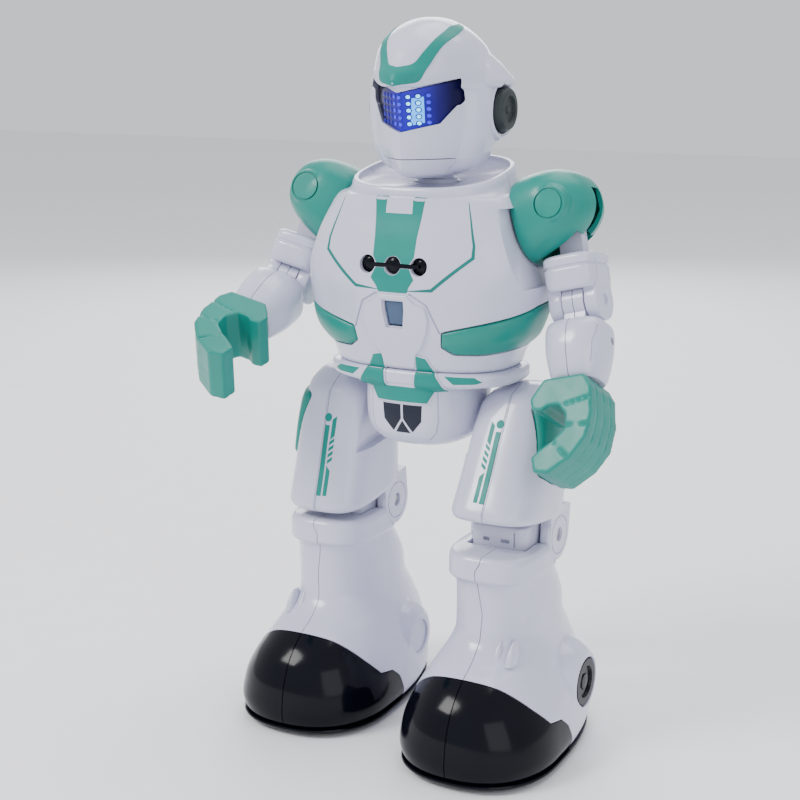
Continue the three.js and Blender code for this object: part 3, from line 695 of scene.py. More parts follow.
def plastic(name, colour, roughness, variation=0.05, bump=0.08, coat=0.0, shine=0.5):
    """Moulded plastic: faint flow clouds in the colour, uneven gloss and a fine orange-peel surface."""
    material, nodes, links, shader = base_material(name)
    clouds = spread(nodes, links, noise(nodes, links, 55, 3), 0, 1)
    dark = [c * (1 - variation) for c in colour]
    pale = [min(1, c * (1 + variation * 0.6)) for c in colour]
    links.new(tinted(nodes, links, clouds, dark, pale), shader.inputs["Base Color"])
    gloss = spread(nodes, links, noise(nodes, links, 140, 4), roughness * 0.85, roughness * 1.25)
    links.new(gloss, shader.inputs["Roughness"])
    links.new(bumped(nodes, links, noise(nodes, links, 900, 2), bump, 0.0001), shader.inputs["Normal"])
    shader.inputs["Coat Weight"].default_value = coat
    shader.inputs["Coat Roughness"].default_value = 0.06
    shader.inputs["Specular IOR Level"].default_value = shine
    return material


def floor_material():
    return plastic("floor_matt", (0.9, 0.9, 0.92), 0.7, 0.01, 0.02)


def board_material():
    """Green solder mask with copper tracks under it."""
    material, nodes, links, shader = base_material("solder_mask")
    place = nodes.new("ShaderNodeTexCoord")
    tracks = nodes.new("ShaderNodeTexBrick")
    tracks.inputs["Scale"].default_value = 220
    tracks.inputs["Mortar Size"].default_value = 0.06
    tracks.inputs["Color1"].default_value = (0.01, 0.13, 0.05, 1)
    tracks.inputs["Color2"].default_value = (0.01, 0.16, 0.06, 1)
    tracks.inputs["Mortar"].default_value = (0.10, 0.24, 0.06, 1)
    links.new(place.outputs["Object"], tracks.inputs["Vector"])
    links.new(tracks.outputs["Color"], shader.inputs["Base Color"])
    shader.inputs["Roughness"].default_value = 0.35
    return material


def steel_material():
    """Turned steel, with fine lines along x."""
    material, nodes, links, shader = base_material("turned_steel")
    place = nodes.new("ShaderNodeTexCoord")
    stretch = nodes.new("ShaderNodeMapping")
    stretch.inputs["Scale"].default_value = (3000, 120, 120)
    texture = nodes.new("ShaderNodeTexNoise")
    texture.inputs["Scale"].default_value = 1.0
    links.new(place.outputs["Object"], stretch.inputs["Vector"])
    links.new(stretch.outputs["Vector"], texture.inputs["Vector"])
    lines = spread(nodes, links, texture.outputs["Fac"], 0, 1)
    links.new(tinted(nodes, links, lines, (0.5, 0.5, 0.52), (0.66, 0.66, 0.68)), shader.inputs["Base Color"])
    links.new(spread(nodes, links, texture.outputs["Fac"], 0.25, 0.42), shader.inputs["Roughness"])
    shader.inputs["Metallic"].default_value = 1.0
    return material


def rubber_material():
    material, nodes, links, shader = base_material("wheel_rubber")
    grain = noise(nodes, links, 1400, 4)
    clouds = spread(nodes, links, grain, 0, 1)
    colour = tinted(nodes, links, clouds, (0.018, 0.018, 0.019), (0.035, 0.035, 0.036))
    links.new(colour, shader.inputs["Base Color"])
    links.new(bumped(nodes, links, grain, 0.3, 0.0002), shader.inputs["Normal"])
    shader.inputs["Roughness"].default_value = 0.75
    return material


def math_node(nodes, links, operation, first, second):
    node = nodes.new("ShaderNodeMath")
    node.operation = operation
    for socket, value in zip(node.inputs, (first, second)):
        if isinstance(value, (int, float)):
            socket.default_value = value
        else:
            links.new(value, socket)
    return node.outputs[0]


def visor_material():
    """A blue lens lit from behind: brightest in the middle, dark and violet towards its ends."""
    material, nodes, links, shader = base_material("visor_lens")
    place = nodes.new("ShaderNodeTexCoord")
    parts = nodes.new("ShaderNodeSeparateXYZ")
    links.new(place.outputs["Object"], parts.inputs["Vector"])
    middle = TORSO_PLACE.translation.x + VISOR_GLOW["x"] * MM
    away = math_node(nodes, links, "SUBTRACT", parts.outputs["X"], middle)
    distance = math_node(nodes, links, "ABSOLUTE", away, 0.0)
    fade = nodes.new("ShaderNodeMapRange")
    fade.inputs["From Min"].default_value = 0.0
    fade.inputs["From Max"].default_value = VISOR_GLOW["reach"] * MM
    fade.inputs["To Min"].default_value = 0.0
    fade.inputs["To Max"].default_value = 1.0
    links.new(distance, fade.inputs["Value"])
    ramp = nodes.new("ShaderNodeValToRGB")
    ramp.color_ramp.elements[0].position = 0.0
    ramp.color_ramp.elements[0].color = (0.025, 0.010, 0.55, 1)
    ramp.color_ramp.elements[1].position = 1.0
    ramp.color_ramp.elements[1].color = (0.002, 0.001, 0.012, 1)
    stops = ((0.3, (0.018, 0.004, 0.38)), (0.5, (0.008, 0.002, 0.12)), (0.72, (0.002, 0.001, 0.018)))
    for position, colour in stops:
        ramp.color_ramp.elements.new(position).color = (*colour, 1)
    links.new(fade.outputs["Result"], ramp.inputs["Fac"])
    links.new(ramp.outputs["Color"], shader.inputs["Emission Color"])
    shader.inputs["Emission Strength"].default_value = 1.1
    tint = tinted(nodes, links, fade.outputs["Result"], (0.010, 0.008, 0.10), (0.002, 0.002, 0.008))
    links.new(tint, shader.inputs["Base Color"])
    links.new(bumped(nodes, links, noise(nodes, links, 700, 2), 0.05, 0.0001), shader.inputs["Normal"])
    shader.inputs["Roughness"].default_value = 0.2
    shader.inputs["Specular IOR Level"].default_value = 0.15
    return material


def glow_material(name, colour, strength):
    """A lit lens with a hotter middle to each of its clouds."""
    material, nodes, links, shader = base_material(name)
    clouds = spread(nodes, links, noise(nodes, links, 500, 2), 0, 1)
    pale = [min(1, c * 1.3) for c in colour]
    links.new(tinted(nodes, links, clouds, colour, pale), shader.inputs["Emission Color"])
    links.new(tinted(nodes, links, clouds, colour, pale), shader.inputs["Base Color"])
    shader.inputs["Emission Strength"].default_value = strength
    shader.inputs["Roughness"].default_value = 0.3
    shader.inputs["Specular IOR Level"].default_value = 0.2
    return material


VISOR_GLOW = {"x": 2.0, "reach": 17.0}


def make_materials():
    # Each plastic: its colour, roughness, variation in colour, bump, clear coat and shine
    return {
        "white": plastic("white_abs", (0.585, 0.59, 0.735), 0.22, 0.035, 0.05, 0.3),
        "teal": plastic("teal_abs", (0.002, 0.22, 0.178), 0.36, 0.07, 0.07, 0.08, 0.35),
        "paint": plastic("teal_print", (0.002, 0.22, 0.185), 0.42, 0.09, 0.04, 0.0, 0.3),
        "paint_dark": plastic("dark_teal_print", (0.006, 0.17, 0.155), 0.42, 0.09, 0.04, 0.0, 0.3),
        "ink": plastic("navy_print", (0.008, 0.010, 0.024), 0.42, 0.1, 0.04, 0.0, 0.3),
        "black": plastic("black_gloss", (0.002, 0.0025, 0.006), 0.14, 0.15, 0.03, 0.0, 0.16),
        "matt": plastic("black_matt", (0.014, 0.022, 0.024), 0.55, 0.2, 0.25),
        "grey": plastic("inner_grey", (0.08, 0.085, 0.09), 0.55, 0.08, 0.15),
        "window": plastic("smoky_window", (0.03, 0.07, 0.155), 0.2, 0.2, 0.03, 0.2),
        "steel": steel_material(),
        "rubber": rubber_material(),
        "board": board_material(),
        "visor": visor_material(),
        "led_core": glow_material("led_core", (0.16, 0.62, 1.0), 1.9),
        "led_rim": glow_material("led_rim", (0.008, 0.006, 0.20), 0.35),
        "led_blue": glow_material("led_blue", (0.03, 0.02, 0.7), 0.9),
        "led_ring": glow_material("led_ring", (0.012, 0.006, 0.22), 0.35),
        "led_panel": glow_material("led_panel", (0.05, 0.32, 0.95), 1.25),
    }


# Pieces

def add(body, name, place, rides, look, nodes=(), angle=38.0):
    """Gives a drawn body its name, finish and place, and sets it on the CAD body that carries it."""
    body.name = name
    body.data.name = name
    body.data.materials.clear()
    body.data.materials.append(LOOKS[look])
    moved(body, place)
    body.data.shade_smooth()
    body.data.set_sharp_from_angle(angle=math.radians(angle))
    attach(body, rides)
    if nodes:
        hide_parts(*nodes)
    return body


# Torso

TORSO = [
    ring(141.3, 34.0, 23.2, 21.7),
    ring(142.1, 35.0, 24.0, 22.5),
    ring(147, 36.8, 25.5, 24),
    ring(156, 42.5, 28, 26),
    ring(166, 45.6, 29.8, 27.5),
    ring(176, 46.3, 31, 28.5),
    ring(188, 44, 28.5, 28.5),
    ring(198, 38.5, 25.5, 28),
    ring(203.2, 34, 24.6, 27.4),
    ring(205.0, 31.2, 25.2, 26.6, y=1, lean=0.08),
    ring(207.4, 29.7, 25.0, 25.6, y=2, lean=0.16),
    ring(210.0, 29.1, 24.6, 25.2, y=2, lean=0.19),
    ring(211.0, 28.3, 23.9, 24.4, y=2, lean=0.19),
    ring(211.0, 27.4, 23.0, 23.6, y=2, lean=0.19),
    ring(209.4, 26.7, 22.3, 22.9, y=2, lean=0.19),
    ring(208.2, 24.8, 20.6, 21.2, y=2, lean=0.16),
    ring(207.3, 20.4, 16.4, 17.0, y=3, lean=0.11),
    ring(207.0, 9.6, 9.6, 9.6, y=5, power=2, lean=0.02),
    ring(206.4, 8.7, 8.7, 8.7, y=5, power=2),
    ring(197, 8.7, 8.7, 8.7, y=5, power=2),
]
TORSO_ROOM = [
    ring(144, 34, 23, 21.4),
    ring(147, 34.8, 23.5, 22),
    ring(156, 40.5, 26, 24),
    ring(166, 44, 27.8, 25.5),
    ring(176, 45, 29, 26.5),
    ring(188, 42, 26.5, 26.5),
    ring(193, 37.5, 24, 26),
    ring(198, 31.5, 22, 25.4),
]
CHEST_SEAM_Y = 3
RIB = [
    (33.5, 156.2), (84, 164.8), (103, 165.6), (104, 150.4),
    (84, 149.6), (58, 148.4), (42, 148.6), (34, 151),
]
RIB_ROOM = [
    (32.9, 156.9), (84, 165.5), (103.6, 166.3), (104.7, 149.9),
    (84, 149.1), (58, 147.9), (41.7, 148.1), (33.3, 150.8),
]
RIB_CORNER = 1.2
BELLY_SEAM = [(17.2, 156.2), (12.9, 166.4), (6.4, 170.2)]
STRIPE = [
    (5.3, 198), (5.2, 203.8), (9.9, 203.6), (8.4, 190), (8.2, 183.2),
    (6.8, 181), (6.8, 179), (8.6, 175.4), (6.6, 172.6), (5.7, 170.4),
]
STRIPE_GAP = {"half_width": 9, "half_height": 0.85, "eye": 3.4}
HEXAGON = [(24.9, 202.4), (29.0, 188), (29.2, 183.8), (15.2, 172), (5.8, 171.2)]
HEXAGON_WIDTHS = [0.2, 0.9, 1.3, 1.3, 0.2]
APRON = [
    (5.6, 169.6), (8.6, 166.6), (12.4, 165.6), (13.4, 161),
    (12.2, 155.6), (9.6, 150), (7.2, 147.6), (6.2, 142.4),
]
APRON_WINDOW = [(4.4, 167.8), (4.4, 164), (3.5, 157.3)]
WINDOW = [(3.9, 167.2), (3.9, 164), (3.0, 157.9)]
WINDOW_LENS = {"middle": 162.6, "wide": 0.93, "tall": 0.96}
LENS_LEVELS = [(0, -2.6), (0, -0.9), (0.2, -0.7), (0.5, -0.62)]
CHEST_CUT = -20
SENSOR_X = 10.3
SENSOR_Z = 180.0
SENSOR_HOLE = {"eye": 3.25, "bar": 0.8}
BRIDGE = {"front": -30.2, "back": -26.5, "half": 0.65}
EYE_FRONTS = (-29.1, -30.5, -29.1)
EYE_DOME = [(0, 0.02), (0.08, 1.2), (0.4, 2.2), (1.1, 3.0)]
EYE_RADIUS = 3.05
BACK_CUT = 15
DOOR = {"x": 19, "low": 150, "high": 186, "corner": 2, "rim": 2}
LID_LEVELS = [(0, -1.9), (0, -0.2), (0.1, 0.02), (0.3, 0.14), (0.6, 0.2)]
LID_GRIPS = (178.5, 180.5, 182.5)
LID_SCREW_Z = 155
SWITCH = {"x": 11, "z": 194, "travel": 7.5, "half": 2}
KNOB_RIDGES = (-1.4, 0, 1.4)
VENT_HEIGHTS = (156, 168, 180)
SCREW_X = 22
# Each screw's height and how far back its head reaches
BACK_SCREWS = {"left": [(146.5, 24.2)], "right": [(146.5, 24.2), (195.5, 25.4)]}
SHOULDER_ROOM = {"x": 18.5, "z": 172.5, "spare": 0.5}


def shoulder_room(sign, spare=SHOULDER_ROOM["spare"]):
    """The space beyond the tilted plane where a shoulder cap meets the torso."""
    room = box(-spare, FAR, -FAR, FAR, -FAR, FAR)
    moved(room, Matrix.Translation(SHOULDER) @ Matrix.Rotation(-SHOULDER_TILT, 4, "Y"))
    common(room, box(SHOULDER_ROOM["x"] - spare, FAR, -FAR, FAR, SHOULDER_ROOM["z"] - spare, FAR))
    return on_side(room, sign)


def build_torso():
    place = TORSO_PLACE
    shape = loft(TORSO)
    front = Skin(shape, "front")
    rear = Skin(shape, "back")
    around = Skin(shape, "round", (0, 0, 0), 40)
    wall = copied(shape)
    lined = SHOULDER_ROOM["spare"] + WALL
    cavity = cut(loft(TORSO_ROOM, 72), shoulder_room(1, lined), shoulder_room(-1, lined))
    cut(wall, cavity, shoulder_room(1), shoulder_room(-1))
    for name, sign in SIDES.items():
        cut(wall, patch(around, rounded(sided(RIB_ROOM, sign), RIB_CORNER), [(0, -1.7), (0, 1.5)]))
        panel = patch(around, rounded(sided(RIB, sign), RIB_CORNER), PANEL, crown=1.0, reach=7)
        add(panel, f"{name}_rib_cover", place, "torso", "teal", [f"{name}_rib_panel"])
        cut(wall, groove(front, swung(BELLY_SEAM, sign), 0.7, 0.8))
    chest = common(copied(wall), box(-FAR, FAR, -FAR, CHEST_SEAM_Y, 0, 2 * FAR))
    back = common(wall, box(-FAR, FAR, CHEST_SEAM_Y + GAP, FAR, 0, 2 * FAR))
    build_chest_front(chest, front, place)
    build_back(back, rear, place)
    build_pelvis(shape, place)
    bpy.data.objects.remove(shape)


def build_chest_front(chest, front, place):
    spots = [(x, 0, SENSOR_Z) for x in (-SENSOR_X, 0, SENSOR_X)]
    hole = SENSOR_HOLE["bar"]
    bar = [(SENSOR_X, SENSOR_Z + hole), (SENSOR_X, SENSOR_Z - hole)]
    cut(chest, prism(rounded(mirrored(bar), 0.3), -FAR, CHEST_CUT))
    for spot in spots:
        cut(chest, rod(SENSOR_HOLE["eye"], -FAR, CHEST_CUT, "y", spot))
    cut(chest, prism(rounded(mirrored(WINDOW), 0.4), -FAR, CHEST_CUT))
    add(chest, "chest_cover", place, "torso", "white", ["chest_shell"])

    back, half = BRIDGE["back"], BRIDGE["half"]
    bridge = box(-SENSOR_X, SENSOR_X, BRIDGE["front"], back, SENSOR_Z - half, SENSOR_Z + half)
    for tip, spot in zip(EYE_FRONTS, spots):
        profile = [(tip + rise, radius) for rise, radius in EYE_DOME] + [(back, EYE_RADIUS)]
        joined(bridge, turned(profile, "y", spot))
    add(bridge, "sensor_eyes", place, "torso", "black", ["sensor_window"])

    middle = WINDOW_LENS["middle"]
    pane = [
        (u * WINDOW_LENS["wide"], middle + (v - middle) * WINDOW_LENS["tall"]) for u, v in mirrored(WINDOW)
    ]
    lens = patch(front, rounded(pane, 0.4), LENS_LEVELS)
    add(lens, "receiver_lens", place, "torso", "window", ["receiver_window"])

    stripe = patch(front, mirrored(STRIPE), PAINT)
    for spot in spots:
        cut(stripe, rod(STRIPE_GAP["eye"], -FAR, 0, "y", spot))
    wide, tall = STRIPE_GAP["half_width"], STRIPE_GAP["half_height"]
    cut(stripe, box(-wide, wide, -FAR, 0, SENSOR_Z - tall, SENSOR_Z + tall))
    add(stripe, "chest_stripe", place, "torso", "paint")
    for name, sign in SIDES.items():
        line = stroke(swung(HEXAGON, sign), HEXAGON_WIDTHS)
        add(patch(front, line, PAINT, 0.6), f"{name}_chest_line", place, "torso", "paint_dark")

    apron = patch(front, rounded(mirrored(APRON), 0.6), PLATE)
    cut(apron, prism(rounded(mirrored(APRON_WINDOW), 0.5), -FAR, 0))
    add(apron, "belly_apron", place, "torso", "white")


def screw_head(x, z, radius, low, high, slot_low, arm, thin=0.25):
    """A round screw head in the back, with a cross cut into it."""
    head = disc(radius, low, high, "y", (x, 0, z), 0.3)
    across = box(x - arm, x + arm, slot_low, 30, z - thin, z + thin)
    upright = box(x - thin, x + thin, slot_low, 30, z - arm, z + arm)
    return cut(head, across, upright)


def build_back(back, rear, place):
    x, low, high = DOOR["x"], DOOR["low"], DOOR["high"]
    cut(back, prism(rounded(mirrored([(x, high), (x, low)]), DOOR["corner"]), BACK_CUT, FAR))
    left, right = SWITCH["x"] - SWITCH["travel"], SWITCH["x"] + SWITCH["travel"]
    slot = rectangle(left, right, SWITCH["z"] - SWITCH["half"], SWITCH["z"] + SWITCH["half"])
    cut(back, prism(rounded(slot, 0.6), BACK_CUT, FAR))
    rim = DOOR["rim"]
    cut(back, groove(rear, mirrored([(x + rim, high + rim), (x + rim, low - rim)]), 0.6, 0.6, closed=True))
    for name, sign in SIDES.items():
        for z in VENT_HEIGHTS:
            cut(back, groove(rear, swung([(27, z), (35, z + 3)], sign), 1.2, 1.0))
        for z, top in BACK_SCREWS[name]:
            cut(back, rod(2.1, 20, FAR, "y", (sign * SCREW_X, 0, z)))
            screw = screw_head(sign * SCREW_X, z, 1.9, 18, top, 20, 1.2)
            add(screw, f"back_screw_{name}_{int(z)}", place, "torso", "steel")
    add(back, "back_cover", place, "torso", "white", ["back_shell"])

    small = mirrored([(x - GAP, high - GAP), (x - GAP, low + GAP)])
    lid = patch(rear, rounded(small, 1.8), LID_LEVELS)
    for z in LID_GRIPS:
        cut(lid, groove(rear, [(-6, z), (6, z)], 0.9, 0.7))
    cut(lid, rod(1.9, 20, FAR, "y", (0, 0, LID_SCREW_Z)))
    add(lid, "battery_lid", place, "torso", "white", ["battery_door"])
    screw = screw_head(0, LID_SCREW_Z, 1.7, 22, 25.2, 24.6, 1.1)
    add(screw, "battery_screw", place, "torso", "steel")


def build_switch():
    low, high = (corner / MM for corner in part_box("power_switch"))
    knob = box(low.x, high.x, low.y, high.y, low.z, high.z)
    softened(knob, 0.3, 3)
    for offset in KNOB_RIDGES:
        x = (low.x + high.x) / 2 + offset
        cut(knob, box(x - 0.3, x + 0.3, high.y - 0.5, high.y + 3, low.z - 1, high.z + 1))
    add(knob, "switch_knob", Matrix.Scale(MM, 4), "switch", "matt", ["power_switch"])


# Pelvis

PELVIS = [
    ring(110.7, 8, 10, 10),
    ring(111.9, 14.5, 17, 15),
    ring(114.5, 18.8, 20.5, 18),
    ring(119, 21.4, 22.5, 19.5),
    ring(125, 22, 23.3, 20),
    ring(134.0, 22, 23.6, 20),
    ring(135.4, 33.5, 24.0, 21.8),
    ring(136.2, 36.8, 24.8, 23.6),
    ring(137.4, 37.8, 25.2, 24.2),
    ring(139.4, 37.8, 25.2, 24.2),
    ring(140.5, 37.2, 24.8, 23.7),
    ring(141.0, 36.0, 24.2, 23.0),
]
PELVIS_ROOM = [
    ring(113, 10, 12, 11),
    ring(116, 16.8, 18.5, 16),
    ring(125, 20, 21.3, 18),
    ring(134, 20, 21.6, 18),
    ring(137.6, 30, 22, 20.6),
    ring(139, 35, 22.6, 21.5),
]
HIP_Y = 7
HIP_Z = 124
HIP_BORE = 4.1
PELVIS_SEAM = [(13.4, 134), (13.6, 123), (12.6, 118), (9.5, 114.6)]
BELT_PLATE = [
    (6.0, 135.2), (6.9, 147.2), (10.6, 146.4), (13.6, 141),
    (17.8, 134.9), (12.4, 133.6), (9.9, 129.3),
]
BELT_LEVELS = [(0, -0.5), (0, 0.5), (0.1, 0.72), (0.3, 0.84)]
BELT_RIM = 0.55
BELT_RIM_LEVELS = [(0, -0.5), (0, 0.36), (0.1, 0.5)]
BELT_SIDE = [(17.4, 140.2), (27.6, 140.0), (30.2, 138.3), (28, 137.6), (20.6, 137.4)]
PELVIS_PANELS = {
    "left_pelvis_mark": [(0.45, 128.1), (8.0, 128.1), (7.6, 122), (3.9, 117.6), (0.45, 122.6)],
    "right_pelvis_mark": [(-0.45, 122.6), (-3.9, 117.6), (-7.6, 122), (-8.0, 128.1), (-0.45, 128.1)],
    "lower_pelvis_mark": [(0, 121.9), (3.0, 117.2), (-3.0, 117.2)],
}


def build_pelvis(shape, place):
    body = loft(PELVIS)
    front = Skin(body, "front")
    both = joined(copied(body), box(-5, 5, -5, 5, 130, 150), copied(shape))
    wide = Skin(both, "front")
    bpy.data.objects.remove(both)
    cut(body, loft(PELVIS_ROOM, 64), rod(HIP_BORE, -FAR, FAR, "x", (0, HIP_Y, HIP_Z)))
    for sign in (1, -1):
        cut(body, groove(front, swung(PELVIS_SEAM, sign), 0.6, 0.5))
    rear = copied(body)
    common(body, box(-FAR, FAR, -FAR, HIP_Y - GAP / 2, 0, FAR))
    common(rear, box(-FAR, FAR, HIP_Y + GAP / 2, FAR, 0, FAR))
    add(body, "pelvis_front_cover", place, "torso", "white", ["pelvis_front_shell"])
    add(rear, "pelvis_rear_cover", place, "torso", "white", ["pelvis_rear_shell"])

    whole = mirrored(BELT_PLATE)
    plate = patch(wide, whole, BELT_LEVELS)
    add(plate, "belt_plate", place, "torso", "paint")
    rim = patch(wide, grown(whole, BELT_RIM, 1.0), BELT_RIM_LEVELS, 0.6)
    add(rim, "belt_plate_rim", place, "torso", "white")
    for name, sign in SIDES.items():
        side = patch(front, sided(BELT_SIDE, sign), PAINT, 0.7)
        add(side, f"{name}_belt_mark", place, "torso", "paint")
    for name, mark in PELVIS_PANELS.items():
        add(patch(front, mark, PAINT, 0.7), name, place, "torso", "ink")


# Head

HELMET = [
    ring(210.5, 11, 9, 11, power=2.2),
    ring(212.5, 17, 11, 15.5, power=2.2),
    ring(217, 21.2, 12.5, 19.5, power=2.2),
    ring(226, 23.6, 13, 25.0, power=2.3),
    ring(234, 24.2, 13, 27.2, power=2.3),
    ring(240.5, 24.0, 16, 27.4, power=2.2, front_power=1.9),
    ring(242.2, 23.6, 29, 27.2, power=2.2, front_power=1.35),
    ring(243.4, 23.2, 30.6, 27.0, power=2.2, front_power=1.3),
    ring(246, 22.4, 29.6, 26.8, power=2.2, front_power=1.4),
    ring(250, 20.9, 25.6, 26.4, power=2.2, front_power=1.6),
    ring(255, 18.4, 22.3, 24.2, power=2.2, front_power=1.9),
    ring(259, 15.4, 18.6, 20.4, power=2.1),
    ring(263, 10.6, 13.6, 14.0, power=2),
    ring(265.2, 5.6, 8.0, 8.0, power=2),
    ring(265.9, 2.0, 3.4, 3.4, power=2),
]
MASK = [
    ring(209.6, 8, 11.5, 8, y=-4, power=2, front_power=1.6),
    ring(211.0, 11.5, 16.5, 8, y=-4, power=2, front_power=1.4),
    ring(214.0, 14.5, 19.6, 8, y=-4, power=2, front_power=1.25),
    ring(219, 18.0, 20.6, 8, y=-4, power=2, front_power=1.3),
    ring(226, 20.6, 20.9, 8, y=-4, power=2, front_power=1.25),
    ring(233, 21.4, 22.0, 8, y=-4, power=2, front_power=1.2),
    ring(240, 21.2, 23.0, 8, y=-4, power=2, front_power=1.2),
    ring(245, 20.0, 23.0, 8, y=-4, power=2, front_power=1.2),
]
CREST = [
    ring(240.9, 8.5, 10, 10, x=15, y=9, power=2.6),
    ring(241.6, 11.0, 13, 12.6, x=15, y=9, power=2.6),
    ring(243.4, 11.6, 14, 13, x=15, y=9, power=2.6),
    ring(247, 10.6, 13, 12, x=14, y=8, power=2.4),
    ring(251.5, 8.2, 10.5, 10, x=12.6, y=6.6, power=2.2),
    ring(256, 5.2, 7, 7, x=10.4, y=4.6, power=2),
    ring(258.5, 2.6, 4, 4, x=9, y=3.4, power=2),
]
EYE_OPENING = [
    (0, 240.0), (17.6, 245.0), (18.1, 237.2), (16.9, 235.6),
    (16.2, 235.6), (11.6, 229.2), (0, 226.2),
]
HELMET_ROOM = (2, 3, 4, 5, 8, 9, 10, 11)
JAW = {"line": 216.6, "back": -9.3}
EAR_SEAT = [(17, 8.5), (24.4, 8.5), (26.4, 10.0)]
EAR_HOOD = [(16, 11.6), (22.6, 11.4), (24.2, 10.6), (24.6, 9.7), (24.2, 8.9), (20, 8.7)]
EAR_CAP = [
    (21, 7.9), (25.9, 7.9), (26.9, 7.2), (27.2, 6.2), (27.2, 4.9),
    (26.2, 4.5), (26.1, 1.6), (26.6, 1.2), (26.7, 0.05),
]
NECK_LINE = (0, NECK.y, 0)
NECK_POST = [(196.2, 7.6), (196.6, 8), (203, 8), (205, 7.4), (208.2, 7.4), (208.5, 6), (216.8, 6)]
LED_BOARD = {"half": 12.5, "back": -9, "low": 225, "high": 240}
HEAD_MIDDLE = Vector((0, 0, 236))
LED = {"columns": (-10.6, -8.0, -5.4, -2.8, -0.2, 2.6, 5.4, 8.2), "rows": 5, "low": 228.9, "step": 2.35}
LED_LIT = {5: "led_core", 6: "led_core", 3: "led_blue", 4: "led_blue", 7: "led_blue"}
LED_RIM = {"radius": 0.95, "levels": [(0, -0.4), (0, 0.12), (0.15, 0.2)]}
LED_LENS = {"radius": 0.62, "levels": [(0, -0.4), (0, 0.2), (0.2, 0.32)]}
LED_PANEL = [(3.0, 228.6), (7.0, 229.6), (7.0, 238.6), (3.6, 238.0)]


def build_head():
    place = TORSO_PLACE
    helmet = loft(HELMET)
    mask = loft(MASK, 96)
    crest = loft(CREST, 72)
    solid_head = joined(copied(helmet), copied(mask), copied(crest), moved(crest, MIRROR))
    ball = Skin(helmet, "ball", HEAD_MIDDLE, 26)
    room = loft(inset([HELMET[i] for i in HELMET_ROOM], 2.2), 64)

    opening = prism(rounded(mirrored_top(EYE_OPENING), 0.5), -FAR, -3)
    lens = loft(inset(MASK[3:], 1.5), 96)
    visor = common(copied(lens), prism(rounded(grown(mirrored_top(EYE_OPENING), -GAP), 0.5), -FAR, -6))
    cut(visor, loft(inset(MASK[3:], 3.0), 48))
    add(visor, "visor_glass", place, "head", "visor", ["visor"])
    build_leds(Skin(lens, "front"), place)
    board = LED_BOARD
    board_room = box(-board["half"], board["half"], -FAR, board["back"], board["low"], board["high"])
    carrier = common(loft(inset(MASK[3:], 4.2), 64), board_room)
    cut(carrier, loft(inset(MASK[3:], 5.4), 48))
    add(carrier, "led_carrier", place, "head", "board", ["led_board"])
    bpy.data.objects.remove(lens)

    shell = cut(solid_head, opening, room, loft(inset(MASK[2:], 3.4), 48))
    jaw = common(copied(shell), box(-FAR, FAR, -FAR, JAW["back"], 0, JAW["line"]))
    jaw_room = box(-FAR, FAR, -FAR, JAW["back"] + GAP, 0, JAW["line"] + GAP)
    cut(shell, jaw_room, rod(6.5, 190, 220, "z", NECK_LINE))
    for sign in (1, -1):
        cut(shell, turned([(sign * x, radius) for x, radius in EAR_SEAT], "x", EAR))
    for sign in (1, -1):
        hood = cut(turned(EAR_HOOD, "x", EAR), rod(8.6, 10, 40, "x", EAR))
        joined(shell, on_side(hood, sign))
    add(shell, "helmet_cover", place, "head", "white", ["helmet_shell"])
    add(jaw, "jaw_cover", place, "head", "white", ["face_mask"])

    build_brow_mark(ball, place)
    for name, sign in SIDES.items():
        ear = on_side(turned(EAR_CAP, "x", EAR), sign)
        add(ear, f"{name}_ear_cap", place, "head", "matt", [f"{name}_ear_disc"])
    post = turned(NECK_POST, "z", NECK_LINE)
    add(post, "neck_collar", place, "head", "white", ["neck_post"])
    bpy.data.objects.remove(helmet)
    bpy.data.objects.remove(mask)


BROW_OUTER = [(0, 12.3), (16, 16.4), (23.5, 28.5), (38, 45.4), (74, 60.8), (100, 66)]
BROW_INNER = [(0, 25.2), (10, 28.6), (19, 39), (30, 50), (60, 66), (96, 70.5)]


def build_brow_mark(ball, place):
    """The V-shaped band that sweeps from the brow up over each side of the helmet."""
    outer = smooth_rows(BROW_OUTER, 5)
    inner = smooth_rows(BROW_INNER, 5)
    whole = [tuple(p) for p in outer] + [tuple(p) for p in inner[::-1]]
    whole += [(-u, v) for u, v in inner[1:]] + [(-u, v) for u, v in outer[:0:-1]]
    band = patch(ball, whole, [(0, -0.3), (0, 0.2), (0.12, 0.32)], 0.8)
    add(band, "brow_band", place, "head", "paint")


def build_leds(skin, place):
    """Round lens dots behind the visor, over a lit panel in the middle."""
    panel = patch(skin, LED_PANEL, [(0, -0.3), (0, 0.06), (0.3, 0.1)], 0.6)
    add(panel, "led_glow", place, "head", "led_panel")
    for column, x in enumerate(LED["columns"]):
        look = LED_LIT.get(column, "led_ring")
        for row in range(LED["rows"]):
            spot = (x, LED["low"] + LED["step"] * row + 0.09 * abs(x))
            rim = patch(skin, circle(spot, LED_RIM["radius"], 18), LED_RIM["levels"], 0.5)
            add(rim, f"led_rim_{column}_{row}", place, "head", "led_rim")
            dot = patch(skin, circle(spot, LED_LENS["radius"], 18), LED_LENS["levels"], 0.5)
            add(dot, f"led_lens_{column}_{row}", place, "head", look)


# Arms

CAP = [
    ring(0.3, 15.3, 16.0, 14.5, x=0.6),
    ring(1.2, 15.8, 16.5, 15, x=0.6),
    ring(4, 16, 17, 15.4, x=0.2),
    ring(11, 15, 17.6, 15.6, x=-0.8),
    ring(17, 13.4, 16.6, 14.8, x=-1.4),
    ring(22.5, 10.4, 13.4, 11.8, x=-1.6),
    ring(26, 6.4, 8.8, 7.8, x=-1.4),
    ring(27.8, 2.4, 3.4, 3, x=-1),
]


